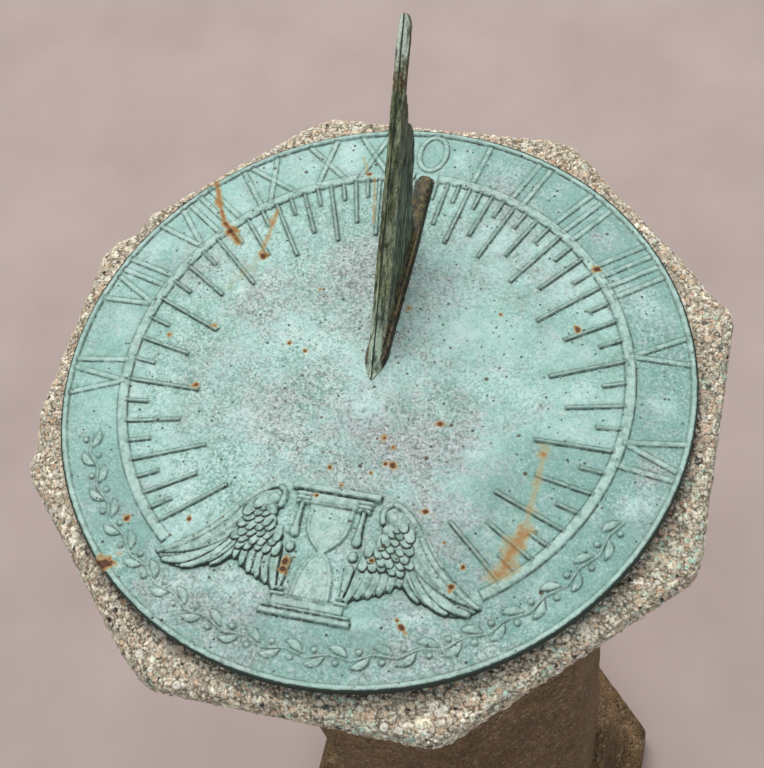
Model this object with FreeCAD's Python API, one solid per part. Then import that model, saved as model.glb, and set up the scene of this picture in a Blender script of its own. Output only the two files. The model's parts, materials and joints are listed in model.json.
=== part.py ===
import FreeCAD, Part
import math
import os
from FreeCAD import Vector

# A garden sundial on a cast-stone pedestal: an octagonal base, a tapered octagonal shaft, an
# octagonal cap, and a bronze dial plate with its gnomon, which turns on a stud through the cap.
# Millimetres, +Z up. +Y is north, where the noon mark lies, and +X is east.
# The origin is the centre of the base's underside, on the ground.

# ---------------------------------------------------------------- driving dimensions
pedestal_height = 762.0        # ground to the top of the cap, 30 inches
dial_diameter = 304.8          # 12 inches
latitude = 41.0                # degrees: sets the style's slope and the hour lines

# pedestal, measured across the flats of each octagon
plinth_flats = 306.0
plinth_height = 36.0
plinth_chamfer = 6.0
step_flats = 268.0
step_height = 16.0
foot_flats = 236.0
base_height = 92.0
shaft_bottom_flats = 219.0
shaft_top_flats = 215.0
mortar_thickness = 6.0
mortar_inset = 4.0             # raked back from the face all round
cap_flats = 328.0
cap_thickness = 58.0
cap_edge_height = 11.0         # rounded edge, above the bevelled underside
cap_bevel_flats = 236.0
cap_corner_radius = 16.0
cap_top_radius = 6.0

# reinforcement and pins inside the stone
bar_diameter = 8.0
bar_circle_radius = 66.0
bar_cover = 22.0
tie_wire = 5.0
tie_levels = 4
hoop_radius = 118.0
base_hoop_wire = 8.0
cap_hoop_wire = 6.0
base_dowel_diameter = 12.0
base_dowel_length = 100.0
base_dowel_offset = 40.0
cap_dowel_diameter = 10.0
cap_dowel_length = 68.0
cap_dowel_offset = 46.0
dowel_hole_spare = 2.0

# the dial's seat in the cap
seat_radius = 28.0
seat_depth = 10.0
pocket_radius = 32.0
pocket_depth = 28.0
grout_radius = 17.0
bush_radius = 10.0
bush_flange_radius = 25.0
bush_flange_thickness = 3.0
running_clearance = 0.08
pad_thickness = 2.0
pad_radius = 12.0
pad_circle_radius = 116.0
pad_count = 3

# dial plate casting
plate_thickness = 4.0
plate_boss_radius = 22.0
rim_width = 3.2
rim_height = 1.3
relief_height = 0.8            # hour ring, hour marks and numerals stand this proud
emblem_height = 2.2
ring_inner_radius = 119.5
ring_outer_radius = 124.2
ring_end_azimuth = 143.0       # the ring stops at the emblem's wing tips
mark_width = 1.8
hour_mark_inner_radius = 84.5
half_mark_inner_radius = 93.5
quarter_mark_inner_radius = 109.0
last_mark_hour = 8.0
numeral_radius = 137.0
numeral_stroke = 2.6
numeral_bottom = -14.8         # from numeral_radius, towards the hour ring
numeral_top = 12.4             # from numeral_radius, towards the rim
letter_widths = {"I": 6.8, "V": 17.0, "X": 17.5}
numerals = ["VI", "VII", "VIII", "IX", "X", "XI", "O", "I", "II", "III", "IIII", "V", "VI"]
first_numeral_hour = -6
noon_ring_width = 16.0
noon_ring_length = 24.0
# the plane where all hour lines meet lies south of the dial's centre
hour_line_origin_south = 19.4

# hourglass emblem, measured from the dial's centre towards the south
glass_slab_half_width = 21.0
glass_top_south = 60.0
glass_bottom_south = 122.5
glass_slab_depth = 4.0
glass_waist_south = 91.0
glass_half_width = 10.0
glass_waist_half_width = 1.6
baluster_offset = 15.0
baluster_radius = 2.6
wing_points = [(23.0, -66.0), (30.0, -62.0), (40.0, -68.0), (52.0, -85.0), (62.0, -98.0),
               (75.0, -104.5), (66.0, -109.5), (52.0, -108.0), (41.0, -102.0), (27.0, -111.0),
               (20.5, -107.0), (19.0, -88.0)]

# gnomon casting, measured from the dial's centre and up from the plate's field
style_length = 169.0
style_end_reach = 7.0          # the bar's upper end is half an ellipse this long
style_width = 6.4
style_roof_drop = 2.2
style_depth = 6.0
web_thickness = 4.8
web_heel = (86.0, 4.5)
web_heel_bend = (90.5, 22.0)
web_scroll_start = (100.0, 36.0)
web_scroll_crest = (108.0, 49.5)
web_notch = (103.2, 64.8)
web_upper_crest = (106.8, 75.0)
web_top = (106.2, 86.0)
flange_half_width = 6.0
flange_back_half_width = 4.8
flange_thickness = 4.5
flange_side_slope = 1.8        # how far the sides lean in from foot to top
flange_length = 122.0
flange_point_length = 19.6
flange_nose_reach = 1.6        # how far the point runs in front of the dial's centre
flange_nose_height = 0.8
flange_shoulder = 80.0         # where the sides start to close in towards the back
flange_corner_radius = 2.5

foot_gap_half_width = 6.3      # gap in the hour ring for the foot
foot_gap_spare = 0.3

# fasteners
screw_diameter = 4.0
screw_head_diameter = 8.0
screw_head_depth = 2.3
screw_length = 12.0
screw_souths = (-34.0, -74.0)  # both lie north of the dial's centre
pin_diameter = 4.0
pin_north = 108.0
pin_length = 6.0
stud_diameter = 12.0
stud_thread_in_boss = 11.0
thrust_washer_radius = 24.0
thrust_washer_thickness = 3.0
spring_washer_radius = 15.0
spring_washer_wall = 1.6
spring_washer_height = 3.6
nut_flats = 19.0
nut_height = 10.0
lock_nut_height = 6.0
stud_tail = 3.0

# ---------------------------------------------------------------- heights worked out from the above
cap_bottom = pedestal_height - cap_thickness
shaft_bottom = base_height + mortar_thickness
shaft_top = cap_bottom - mortar_thickness
seat_floor = pedestal_height - seat_depth
pocket_ceiling = cap_bottom + pocket_depth
plate_bottom = pedestal_height + pad_thickness
field = plate_bottom + plate_thickness
boss_bottom = seat_floor + bush_flange_thickness
dial_radius = dial_diameter / 2
stud_bottom = (pocket_ceiling - thrust_washer_thickness - spring_washer_height - nut_height
               - lock_nut_height - stud_tail)
UP = Vector(0, 0, 1)


# ---------------------------------------------------------------- shape helpers
def octagon(flats, z):
    """Closed wire of an octagon with a flat face towards north, at height z."""
    corner = flats / 2 / math.cos(math.radians(22.5))
    angles = [math.radians(22.5 + 45 * k) for k in range(8)]
    points = [Vector(corner * math.cos(a), corner * math.sin(a), z) for a in angles]
    return Part.makePolygon(points + points[:1])


def octagon_loft(flats_low, z_low, flats_high, z_high):
    return Part.makeLoft([octagon(flats_low, z_low), octagon(flats_high, z_high)], True, True)


def cylinder(radius, z_low, z_high, x=0.0, y=0.0):
    return Part.makeCylinder(radius, z_high - z_low, Vector(x, y, z_low), UP)


def prism(points, z_low, z_high):
    """Upright prism on a closed outline of (x, y) points."""
    corners = [Vector(x, y, z_low) for x, y in points]
    face = Part.Face(Part.makePolygon(corners + corners[:1]))
    return face.extrude(Vector(0, 0, z_high - z_low))


def fuse_all(shapes):
    return shapes[0].multiFuse(shapes[1:]).removeSplitter()


def cut_all(shape, tools):
    return shape.cut(Part.makeCompound(tools))


def save(name, shape):
    os.makedirs("parts", exist_ok=True)
    shape.exportStep("parts/" + name + ".step")
    print(name, round(shape.Volume), "mm3", len(shape.Solids), "solids", shape.isValid())


# ---------------------------------------------------------------- pins and bars in the stone
def base_dowels(spare=0.0):
    """Two steel pins across the joint between base and shaft."""
    middle = base_height + mortar_thickness / 2
    low = middle - base_dowel_length / 2
    high = middle + base_dowel_length / 2 + spare
    return [cylinder(base_dowel_diameter / 2, low, high, side * base_dowel_offset, 0) for side in (-1, 1)]


def cap_dowels(spare=0.0):
    """Two steel pins across the joint between shaft and cap."""
    high = cap_bottom + 24.0
    low = high - cap_dowel_length
    return [cylinder(cap_dowel_diameter / 2, low, high + spare, 0, side * cap_dowel_offset)
            for side in (-1, 1)]


def shaft_bars():
    """Four upright reinforcing bars, on the diagonals."""
    bars = []
    for k in range(4):
        angle = math.radians(45 + 90 * k)
        x, y = bar_circle_radius * math.cos(angle), bar_circle_radius * math.sin(angle)
        bars.append(cylinder(bar_diameter / 2, shaft_bottom + bar_cover, shaft_top - bar_cover, x, y))
    return bars


def shaft_ties():
    """Round wire ties just outside the bars."""
    radius = bar_circle_radius + bar_diameter / 2 + tie_wire / 2 + 0.2
    low, high = shaft_bottom + 2 * bar_cover, shaft_top - 2 * bar_cover
    step = (high - low) / (tie_levels - 1)
    return [Part.makeTorus(radius, tie_wire / 2, Vector(0, 0, low + step * k), UP)
            for k in range(tie_levels)]


def hoop(wire, z):
    return Part.makeTorus(hoop_radius, wire / 2, Vector(0, 0, z), UP)


# ---------------------------------------------------------------- pedestal
def pedestal_base():
    step_top = plinth_height + step_height
    block = fuse_all([
        octagon_loft(plinth_flats, 0, plinth_flats, plinth_height - plinth_chamfer),
        octagon_loft(plinth_flats, plinth_height - plinth_chamfer,
                     plinth_flats - 2 * plinth_chamfer, plinth_height),
        octagon_loft(step_flats, plinth_height, step_flats, step_top),
        octagon_loft(step_flats - 2 * plinth_chamfer, step_top, foot_flats, base_height),
    ])
    return cut_all(block, base_dowels() + [hoop(base_hoop_wire, plinth_height / 2)])


def pedestal_shaft():
    block = octagon_loft(shaft_bottom_flats, shaft_bottom, shaft_top_flats, shaft_top)
    inside = base_dowels(dowel_hole_spare) + cap_dowels() + shaft_bars() + shaft_ties()
    return cut_all(block, inside)


def base_mortar():
    flats = shaft_bottom_flats - 2 * mortar_inset
    return cut_all(octagon_loft(flats, base_height, flats, shaft_bottom), base_dowels())


def cap_mortar():
    """The bed under the cap, a ring that leaves the nut pocket open."""
    flats = shaft_top_flats - 2 * mortar_inset
    bed = octagon_loft(flats, shaft_top, flats, cap_bottom)
    opening = cylinder(pocket_radius, shaft_top, cap_bottom)
    return cut_all(bed, cap_dowels() + [opening])


def pedestal_cap():
    edge_bottom = pedestal_height - cap_edge_height
    slab = octagon_loft(cap_flats, edge_bottom, cap_flats, pedestal_height)
    upright = [e for e in slab.Edges if abs(e.BoundBox.ZLength - cap_edge_height) < 0.01]
    slab = slab.makeFillet(cap_corner_radius, upright)
    top_edges = [e for e in slab.Edges
                 if e.BoundBox.ZMin > pedestal_height - 0.01 and e.BoundBox.ZLength < 0.01]
    slab = slab.makeFillet(cap_top_radius, top_edges)
    outline = [e for e in slab.Edges
               if e.BoundBox.ZMax < edge_bottom + 0.01 and e.BoundBox.ZLength < 0.01]
    top_wire = Part.Wire(Part.__sortEdges__(outline))
    bottom_wire = top_wire.copy()
    bottom_wire.scale(cap_bevel_flats / cap_flats, Vector(0, 0, edge_bottom))
    bottom_wire.translate(Vector(0, 0, cap_bottom - edge_bottom))
    bevel = Part.makeLoft([bottom_wire, top_wire], True, True)
    block = slab.fuse(bevel)
    seat = [cylinder(seat_radius, seat_floor, pedestal_height + 1),
            cylinder(pocket_radius, cap_bottom - 1, pocket_ceiling),
            cylinder(grout_radius, pocket_ceiling - 1, seat_floor + 1)]
    inside = cap_dowels(dowel_hole_spare) + [hoop(cap_hoop_wire, edge_bottom + cap_edge_height / 3)]
    return cut_all(block, seat + inside)


# ---------------------------------------------------------------- the dial's seat
def bush_grout():
    """Mortar ring that holds the bush in the cap's hole."""
    ring = cylinder(grout_radius, pocket_ceiling, seat_floor)
    return ring.cut(cylinder(bush_radius, pocket_ceiling - 1, seat_floor + 1))


def stud_bush():
    body = fuse_all([cylinder(bush_radius, pocket_ceiling, seat_floor),
                     cylinder(bush_flange_radius, seat_floor, boss_bottom)])
    bore = cylinder(stud_diameter / 2 + running_clearance, pocket_ceiling - 1, boss_bottom + 1)
    return body.cut(bore)


def levelling_pads():
    pads = []
    for k in range(pad_count):
        angle = math.radians(90 + 360 * k / pad_count)
        x, y = pad_circle_radius * math.cos(angle), pad_circle_radius * math.sin(angle)
        pads.append(cylinder(pad_radius, pedestal_height, plate_bottom, x, y))
    return Part.makeCompound(pads)


# ---------------------------------------------------------------- dial plate
def hour_azimuth(hour):
    """Direction of an hour line, in radians clockwise from north, hours counted from noon."""
    angle = math.radians(15 * hour)
    return math.atan2(math.sin(math.radians(latitude)) * math.sin(angle), math.cos(angle))


def on_hour_line(hour, radius):
    """The point (x, y) where an hour line crosses a circle about the dial's centre."""
    azimuth = hour_azimuth(hour)
    dx, dy = math.sin(azimuth), math.cos(azimuth)
    along = -hour_line_origin_south * dy
    reach = math.sqrt(radius ** 2 - hour_line_origin_south ** 2 + along ** 2) - along
    return dx * reach, dy * reach - hour_line_origin_south


def bar_outline(start, end, width):
    """Corners of a straight bar between two points."""
    length = math.dist(start, end)
    side_x = -(end[1] - start[1]) / length * width / 2
    side_y = (end[0] - start[0]) / length * width / 2
    return [(start[0] + side_x, start[1] + side_y), (end[0] + side_x, end[1] + side_y),
            (end[0] - side_x, end[1] - side_y), (start[0] - side_x, start[1] - side_y)]


def raised(points, height=relief_height):
    """A raised feature, sunk a little into the plate so that it is one with it."""
    return prism(points, field - 0.5, field + height)


def hour_marks():
    marks = []
    quarters = int(last_mark_hour * 4)
    for k in range(-quarters, quarters + 1):
        if k == 0:
            continue           # the gnomon's foot lies here
        inner = {0: hour_mark_inner_radius, 2: half_mark_inner_radius}.get(k % 4, quarter_mark_inner_radius)
        start = on_hour_line(k / 4, inner)
        end = on_hour_line(k / 4, ring_inner_radius + 0.5)
        marks.append(raised(bar_outline(start, end, mark_width)))
    return marks


def letter_strokes(letter):
    """Strokes of a letter as (left shift at its foot, left shift at its head), from its middle."""
    reach = (letter_widths[letter] - numeral_stroke) / 2
    return {"I": [(0, 0)], "V": [(0, -reach), (0, reach)], "X": [(-reach, reach), (reach, -reach)]}[letter]


def numeral(text, hour):
    """A Roman numeral between ring and rim, its head towards the rim."""
    x, y = on_hour_line(hour, numeral_radius)
    azimuth = math.atan2(x, y)
    out_x, out_y = math.sin(azimuth), math.cos(azimuth)

    def place(across, out):
        return (x + across * out_y + out * out_x, y - across * out_x + out * out_y)

    strokes = []
    cursor = -sum(letter_widths[letter] for letter in text) / 2
    for letter in text:
        middle = cursor + letter_widths[letter] / 2
        for foot, head in letter_strokes(letter):
            line = (place(middle + foot, numeral_bottom), place(middle + head, numeral_top))
            strokes.append(raised(bar_outline(line[0], line[1], numeral_stroke)))
        cursor += letter_widths[letter]
    return strokes


def noon_mark():
    """The upright oval that stands for noon."""
    def oval(width):
        major, minor = noon_ring_length / 2 + width, noon_ring_width / 2 + width
        curve = Part.Ellipse(Vector(0, 0, 0), major, minor).toShape()
        face = Part.Face(Part.Wire(curve))
        face.rotate(Vector(0, 0, 0), UP, 90)
        face.translate(Vector(0, numeral_radius + 0.5, field - 0.5))
        return face.extrude(Vector(0, 0, relief_height + 0.5))

    return oval(0).cut(oval(-numeral_stroke))


def hour_ring():
    """The raised ring round the marks, open to the south where the emblem stands."""
    ring = cylinder(ring_outer_radius, field - 0.5, field + relief_height)
    ring = ring.cut(cylinder(ring_inner_radius, field - 1, field + relief_height + 1))
    edge = math.radians(ring_end_azimuth)
    far = 2 * ring_outer_radius
    corner = (far * math.sin(edge), far * math.cos(edge))
    sector = prism([(0, 0), corner, (0, 3 * corner[1]), (-corner[0], corner[1])], field - 1, field + 3)
    return ring.cut(sector)


def emblem():
    """The winged hourglass, as plain raised shapes."""
    pieces = []
    slab_depths = ((glass_top_south, 1), (glass_bottom_south, -1))
    for south, inward in slab_depths:
        pieces.append(raised(bar_outline((-glass_slab_half_width, -south - inward * glass_slab_depth / 2),
                                         (glass_slab_half_width, -south - inward * glass_slab_depth / 2),
                                         glass_slab_depth), emblem_height))
        bulb = [(-glass_half_width, -south - inward * glass_slab_depth),
                (-glass_half_width, -south - inward * 3 * glass_slab_depth),
                (-glass_waist_half_width, -glass_waist_south),
                (glass_waist_half_width, -glass_waist_south),
                (glass_half_width, -south - inward * 3 * glass_slab_depth),
                (glass_half_width, -south - inward * glass_slab_depth)]
        pieces.append(raised(bulb, emblem_height))
    for side in (-1, 1):
        x = side * baluster_offset
        pieces.append(raised(bar_outline((x, -glass_top_south - glass_slab_depth),
                                         (x, -glass_bottom_south + glass_slab_depth),
                                         2 * baluster_radius), emblem_height))
        pieces.append(raised([(side * px, py) for px, py in wing_points], emblem_height - 0.4))
    return pieces


def screw_holes():
    holes = []
    for south in screw_souths:
        holes.append(cylinder(screw_diameter / 2, plate_bottom - 1, plate_bottom + screw_length, 0, -south))
        holes.append(Part.makeCone(screw_head_diameter / 2, screw_diameter / 2, screw_head_depth,
                                   Vector(0, -south, plate_bottom), UP))
    holes.append(cylinder(pin_diameter / 2, field - pin_length / 2, field + pin_length / 2, 0, pin_north))
    return holes


def dial_plate():
    rim = cylinder(dial_radius, plate_bottom, field + rim_height)
    rim = rim.cut(cylinder(dial_radius - rim_width, plate_bottom - 1, field + rim_height + 1))
    rim_top = [e for e in rim.Edges if e.BoundBox.ZMin > field + rim_height - 0.01]
    rim = rim.makeFillet(rim_height / 2, rim_top)
    shapes = [cylinder(dial_radius - rim_width / 2, plate_bottom, field), rim,
              cylinder(plate_boss_radius, boss_bottom, plate_bottom + 1), hour_ring(), noon_mark()]
    shapes += hour_marks()
    for k, text in enumerate(numerals):
        if text != "O":
            shapes += numeral(text, first_numeral_hour + k)
    shapes += emblem()
    plate = fuse_all(shapes)
    stud_hole = cylinder(stud_diameter / 2, boss_bottom - 1, boss_bottom + stud_thread_in_boss)
    # a gap in the ring where the gnomon's foot sits
    gap = Part.makeBox(2 * foot_gap_half_width, 2 * foot_gap_half_width, 3,
                       Vector(-foot_gap_half_width, flange_length + foot_gap_spare - 2 * foot_gap_half_width, field))
    return cut_all(plate, screw_holes() + [stud_hole, gap])


# ---------------------------------------------------------------- gnomon
def style_frame(x, along, above):
    """A point given across, along and square to the style's ridge, which rises from the centre."""
    slope = math.radians(latitude)
    return Vector(x, along * math.cos(slope) - above * math.sin(slope),
                  field + along * math.sin(slope) + above * math.cos(slope))


def style_prism(half_width, roof_drop, depth, start, end):
    section = [(0, 0), (half_width, -roof_drop), (half_width, -depth), (-half_width, -depth),
               (-half_width, -roof_drop)]
    corners = [style_frame(x, start, above) for x, above in section]
    face = Part.Face(Part.makePolygon(corners + corners[:1]))
    return face.extrude(style_frame(0, end, 0) - style_frame(0, start, 0))


def style_bar():
    """The shadow-casting bar: a ridged roof above, its upper end drawn in to a rounded point."""
    half = style_width / 2
    bar = style_prism(half, style_roof_drop, style_depth, -10, style_length)
    square = style_frame(0, 0, 1) - style_frame(0, 0, 0)
    thickness = 3 * style_depth
    below = -2 * style_depth
    end = style_length - style_end_reach
    outline = Part.Ellipse(style_frame(0, style_length, below), style_frame(half, end, below),
                           style_frame(0, end, below))
    pointed_end = Part.Face(Part.Wire(outline.toShape())).extrude(square * thickness)
    corners = [style_frame(x, s, below) for x, s in ((-half, -20), (half, -20), (half, end), (-half, end))]
    straight = Part.Face(Part.makePolygon(corners + corners[:1])).extrude(square * thickness)
    return bar.common(straight.fuse(pointed_end))


def web_plate():
    """The upright plate under the style, with its scrolled back edge."""
    def at(point):
        return Vector(-web_thickness / 2, point[0], field + point[1])

    slope = math.tan(math.radians(latitude))
    sunk = style_roof_drop + 1.5

    def under_ridge(north):
        return (north, north * slope - sunk)

    front = (sunk / slope, 0.0)
    heel_ground = (web_heel[0], 0.0)
    top_inside = under_ridge(web_top[0])
    edges = [
        Part.LineSegment(at(front), at(heel_ground)),
        Part.LineSegment(at(heel_ground), at(web_heel)),
        Part.Arc(at(web_heel), at(web_heel_bend), at(web_scroll_start)),
        Part.Arc(at(web_scroll_start), at(web_scroll_crest), at(web_notch)),
        Part.Arc(at(web_notch), at(web_upper_crest), at(web_top)),
        Part.LineSegment(at(web_top), at(top_inside)),
        Part.LineSegment(at(top_inside), at(front)),
    ]
    face = Part.Face(Part.Wire([edge.toShape() for edge in edges]))
    return face.extrude(Vector(web_thickness, 0, 0))


def flange_outline(inset, z):
    """The foot's outline: pointed in front, widest in the middle, and rounded at the back's corners."""
    half, back_half, back = flange_half_width - inset, flange_back_half_width - inset, flange_length - inset
    front, r = 2 * inset - flange_nose_reach, flange_corner_radius
    bulge = (0.62 * half, front + 0.28 * flange_point_length)
    lean = r * (1 - math.cos(math.radians(45)))
    right = [Vector(half, front + flange_point_length, z), Vector(half, flange_shoulder, z),
             Vector(back_half, back - r, z), Vector(back_half - lean, back - lean, z),
             Vector(back_half - r, back, z)]
    left = [Vector(-p.x, p.y, z) for p in right]
    tip = Vector(0, front, z)
    return Part.Wire([edge.toShape() for edge in [
        Part.Arc(tip, Vector(bulge[0], bulge[1], z), right[0]),
        Part.LineSegment(right[0], right[1]),
        Part.LineSegment(right[1], right[2]),
        Part.Arc(right[2], right[3], right[4]),
        Part.LineSegment(right[4], left[4]),
        Part.Arc(left[4], left[3], left[2]),
        Part.LineSegment(left[2], left[1]),
        Part.LineSegment(left[1], left[0]),
        Part.Arc(left[0], Vector(-bulge[0], bulge[1], z), tip),
    ]])


def foot_flange():
    """The foot, its sides leaning in, trimmed in front by the planes of the style's roof down to a low nose."""
    plate = Part.makeLoft([flange_outline(0, field), flange_outline(flange_side_slope, field + flange_thickness)],
                          True, True)
    wide = 3 * style_width
    roof = style_prism(wide, wide * style_roof_drop / (style_width / 2), 4 * wide, -40, style_length)
    nose = Part.makeLoft([flange_outline(0, field), flange_outline(flange_nose_height / 2, field + flange_nose_height)],
                         True, True)
    return plate.common(roof).fuse(nose)


def gnomon():
    above_field = Part.makeBox(80, 300, 200, Vector(-40, -60, field))
    body = fuse_all([foot_flange(), web_plate(), style_bar()]).common(above_field)
    return cut_all(body, screw_holes())


# ---------------------------------------------------------------- fasteners
def gnomon_screws():
    """Countersunk screws, up through the plate into the gnomon."""
    screws = []
    for south in screw_souths:
        head = Part.makeCone(screw_head_diameter / 2, screw_diameter / 2, screw_head_depth,
                             Vector(0, -south, plate_bottom), UP)
        shank = cylinder(screw_diameter / 2, plate_bottom, plate_bottom + screw_length, 0, -south)
        slot = Part.makeBox(screw_head_diameter, 1.0, 0.9,
                            Vector(-screw_head_diameter / 2, -south - 0.5, plate_bottom - 0.05), UP)
        screws.append(head.fuse(shank).removeSplitter().cut(slot))
    return Part.makeCompound(screws)


def gnomon_pin():
    return cylinder(pin_diameter / 2, field - pin_length / 2, field + pin_length / 2, 0, pin_north)


def dial_stud():
    return cylinder(stud_diameter / 2, stud_bottom, boss_bottom + stud_thread_in_boss)


def thrust_washer():
    ring = cylinder(thrust_washer_radius, pocket_ceiling - thrust_washer_thickness, pocket_ceiling)
    return ring.cut(cylinder(stud_diameter / 2, 0, pedestal_height))


def spring_washer():
    """A coned spring washer, which lets the dial be turned by hand and holds it where it is put."""
    top = pocket_ceiling - thrust_washer_thickness
    rise = spring_washer_height - spring_washer_wall
    inner, outer = stud_diameter / 2, spring_washer_radius
    section = [Vector(inner, 0, top - spring_washer_height), Vector(outer, 0, top - spring_washer_height + rise),
               Vector(outer, 0, top), Vector(inner, 0, top - rise)]
    face = Part.Face(Part.makePolygon(section + section[:1]))
    return face.revolve(Vector(0, 0, 0), UP, 360)


def hexagon_nut(z_low, z_high):
    corner = nut_flats / 2 / math.cos(math.radians(30))
    outline = [(corner * math.cos(math.radians(60 * k)), corner * math.sin(math.radians(60 * k)))
               for k in range(6)]
    body = prism(outline, z_low, z_high)
    rounded = Part.makeCone(corner - 1.2, corner + 3.0, (z_high - z_low) / 2, Vector(0, 0, z_low), UP)
    upper = Part.makeCone(corner + 3.0, corner - 1.2, (z_high - z_low) / 2,
                          Vector(0, 0, (z_low + z_high) / 2), UP)
    body = body.common(rounded.fuse(upper))
    return body.cut(cylinder(stud_diameter / 2, 0, pedestal_height))


def stud_nut():
    top = pocket_ceiling - thrust_washer_thickness - spring_washer_height
    return hexagon_nut(top - nut_height, top)


def lock_nut():
    top = pocket_ceiling - thrust_washer_thickness - spring_washer_height - nut_height
    return hexagon_nut(top - lock_nut_height, top)


# ---------------------------------------------------------------- write every piece
save("pedestal_base", pedestal_base())
save("base_hoop", hoop(base_hoop_wire, plinth_height / 2))
save("base_dowels", Part.makeCompound(base_dowels()))
save("base_mortar", base_mortar())
save("pedestal_shaft", pedestal_shaft())
save("shaft_bars", Part.makeCompound(shaft_bars()))
save("shaft_ties", Part.makeCompound(shaft_ties()))
save("cap_dowels", Part.makeCompound(cap_dowels()))
save("cap_mortar", cap_mortar())
save("pedestal_cap", pedestal_cap())
save("cap_hoop", hoop(cap_hoop_wire, pedestal_height - cap_edge_height * 2 / 3))
save("bush_grout", bush_grout())
save("stud_bush", stud_bush())
save("levelling_pads", levelling_pads())
save("dial_plate", dial_plate())
save("gnomon", gnomon())
save("gnomon_screws", gnomon_screws())
save("gnomon_pin", gnomon_pin())
save("dial_stud", dial_stud())
save("thrust_washer", thrust_washer())
save("spring_washer", spring_washer())
save("stud_nut", stud_nut())
save("lock_nut", lock_nut())
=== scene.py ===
import json
import math

import bmesh
import bpy
import numpy as np
from mathutils import Matrix, Vector


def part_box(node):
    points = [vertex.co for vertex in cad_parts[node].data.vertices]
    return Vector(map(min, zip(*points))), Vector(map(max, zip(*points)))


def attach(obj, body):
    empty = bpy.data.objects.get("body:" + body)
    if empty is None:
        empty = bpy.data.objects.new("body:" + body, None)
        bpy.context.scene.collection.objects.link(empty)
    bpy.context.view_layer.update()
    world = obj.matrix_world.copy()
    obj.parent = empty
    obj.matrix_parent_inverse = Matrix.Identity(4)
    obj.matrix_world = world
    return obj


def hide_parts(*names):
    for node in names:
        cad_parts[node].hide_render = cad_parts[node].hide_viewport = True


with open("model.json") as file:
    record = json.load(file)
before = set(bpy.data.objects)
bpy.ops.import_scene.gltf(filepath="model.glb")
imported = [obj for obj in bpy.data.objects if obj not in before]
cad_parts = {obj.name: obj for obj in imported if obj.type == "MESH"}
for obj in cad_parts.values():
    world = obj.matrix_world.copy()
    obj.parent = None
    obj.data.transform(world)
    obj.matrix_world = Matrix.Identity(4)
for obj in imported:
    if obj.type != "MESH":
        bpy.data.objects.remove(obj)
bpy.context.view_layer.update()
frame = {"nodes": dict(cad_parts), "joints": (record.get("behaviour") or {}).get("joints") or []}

# The looks of a garden sundial: a verdigris bronze dial and gnomon on a pebbly octagonal pedestal.
# Relief is worked out in millimetres about the dial's centre, x east and y north, then made in metres.

# ---------------------------------------------------------------- places and sizes, from the frame
MM = 0.001
plate_low, plate_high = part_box("dial_plate")
flange_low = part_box("gnomon")[0]
cap_low, cap_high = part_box("pedestal_cap")
boss_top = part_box("stud_bush")[1].z
turn_axis = next(joint for joint in frame["joints"] if joint["name"] == "dial_turn")
dial_centre = Vector(turn_axis["pos_m"][:2] + [flange_low.z])
dial_radius = (plate_high.x - plate_low.x) / 2 / MM
plate_thickness = (flange_low.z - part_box("levelling_pads")[1].z) / MM
boss_depth = (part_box("levelling_pads")[1].z - boss_top) / MM
boss_radius = 22.0  # as in the CAD, whose boxes don't show it

# ---------------------------------------------------------------- relief dimensions, in millimetres
rim_width = 3.2
rim_height = 1.3
rim_edge_height = 0.35
band_dish_depth = 0.35
ring_inner, ring_outer = 119.5, 124.2
ring_end = 143.0
ring_height = 0.75
ring_crown = 0.25
gnomon_foot_gap = 6.3
latitude = 41.0
hour_line_origin_south = 19.4
style_length = 170.0
mark_width = 1.7
mark_height = 1.0
mark_inner = {0: 84.5, 1: 109.0, 2: 93.5, 3: 109.0}
last_mark_quarter = 32
numerals = ["VI", "VII", "VIII", "IX", "X", "XI", "", "I", "II", "III", "IIII", "V", "VI"]
numeral_radius = 137.0
numeral_stroke = 2.5
numeral_height = 0.6
numeral_reach = (-14.4, 12.2)
letter_widths = {"I": 6.8, "V": 17.0, "X": 17.5}
noon_oval = (7.0, 11.0)
noon_oval_shift = 0.8
emblem_middle = -0.6


def smooth(low, high, value):
    """0 below low, 1 above high, and a smooth rise between."""
    t = np.clip((value - low) / (high - low), 0, 1)
    return t * t * (3 - 2 * t)


def mixed_key(cell, salt):
    """One whole number for each whole-number cell (n, 3), its bits scattered by large primes."""
    return (cell[:, 0] * 73856093) ^ (cell[:, 1] * 19349663) ^ (cell[:, 2] * 83492791) ^ salt


def lattice_noise(points, size, seed):
    """Smooth noise from -1 to 1 at points (n, 3), with features about size across."""
    grid = np.floor(points / size).astype(np.int64)
    t = points / size - grid
    t = t * t * (3 - 2 * t)
    total = np.zeros(len(points))
    for corner in range(8):
        offset = np.array([corner & 1, corner >> 1 & 1, corner >> 2 & 1])
        cell = grid + offset
        key = mixed_key(cell, seed * 2654435761)
        key = (key ^ (key >> 13)) * 1274126177
        value = ((key ^ (key >> 16)) & 0xFFFF) / 32767.5 - 1
        total += value * np.prod(np.where(offset == 1, t, 1 - t), axis=1)
    return total


def layered_noise(points, size, layers, seed):
    """Several layers of lattice noise, each half as large and half as strong as the one before."""
    total = np.zeros(len(points))
    for layer in range(layers):
        total += lattice_noise(points, size / 2 ** layer, seed + layer) / 2 ** layer
    return total


def segment_gap(x, y, start, end):
    """Each point's distance from the straight line between two places."""
    ex, ey = end[0] - start[0], end[1] - start[1]
    t = np.clip(((x - start[0]) * ex + (y - start[1]) * ey) / (ex * ex + ey * ey), 0, 1)
    return np.hypot(x - start[0] - t * ex, y - start[1] - t * ey)


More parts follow.
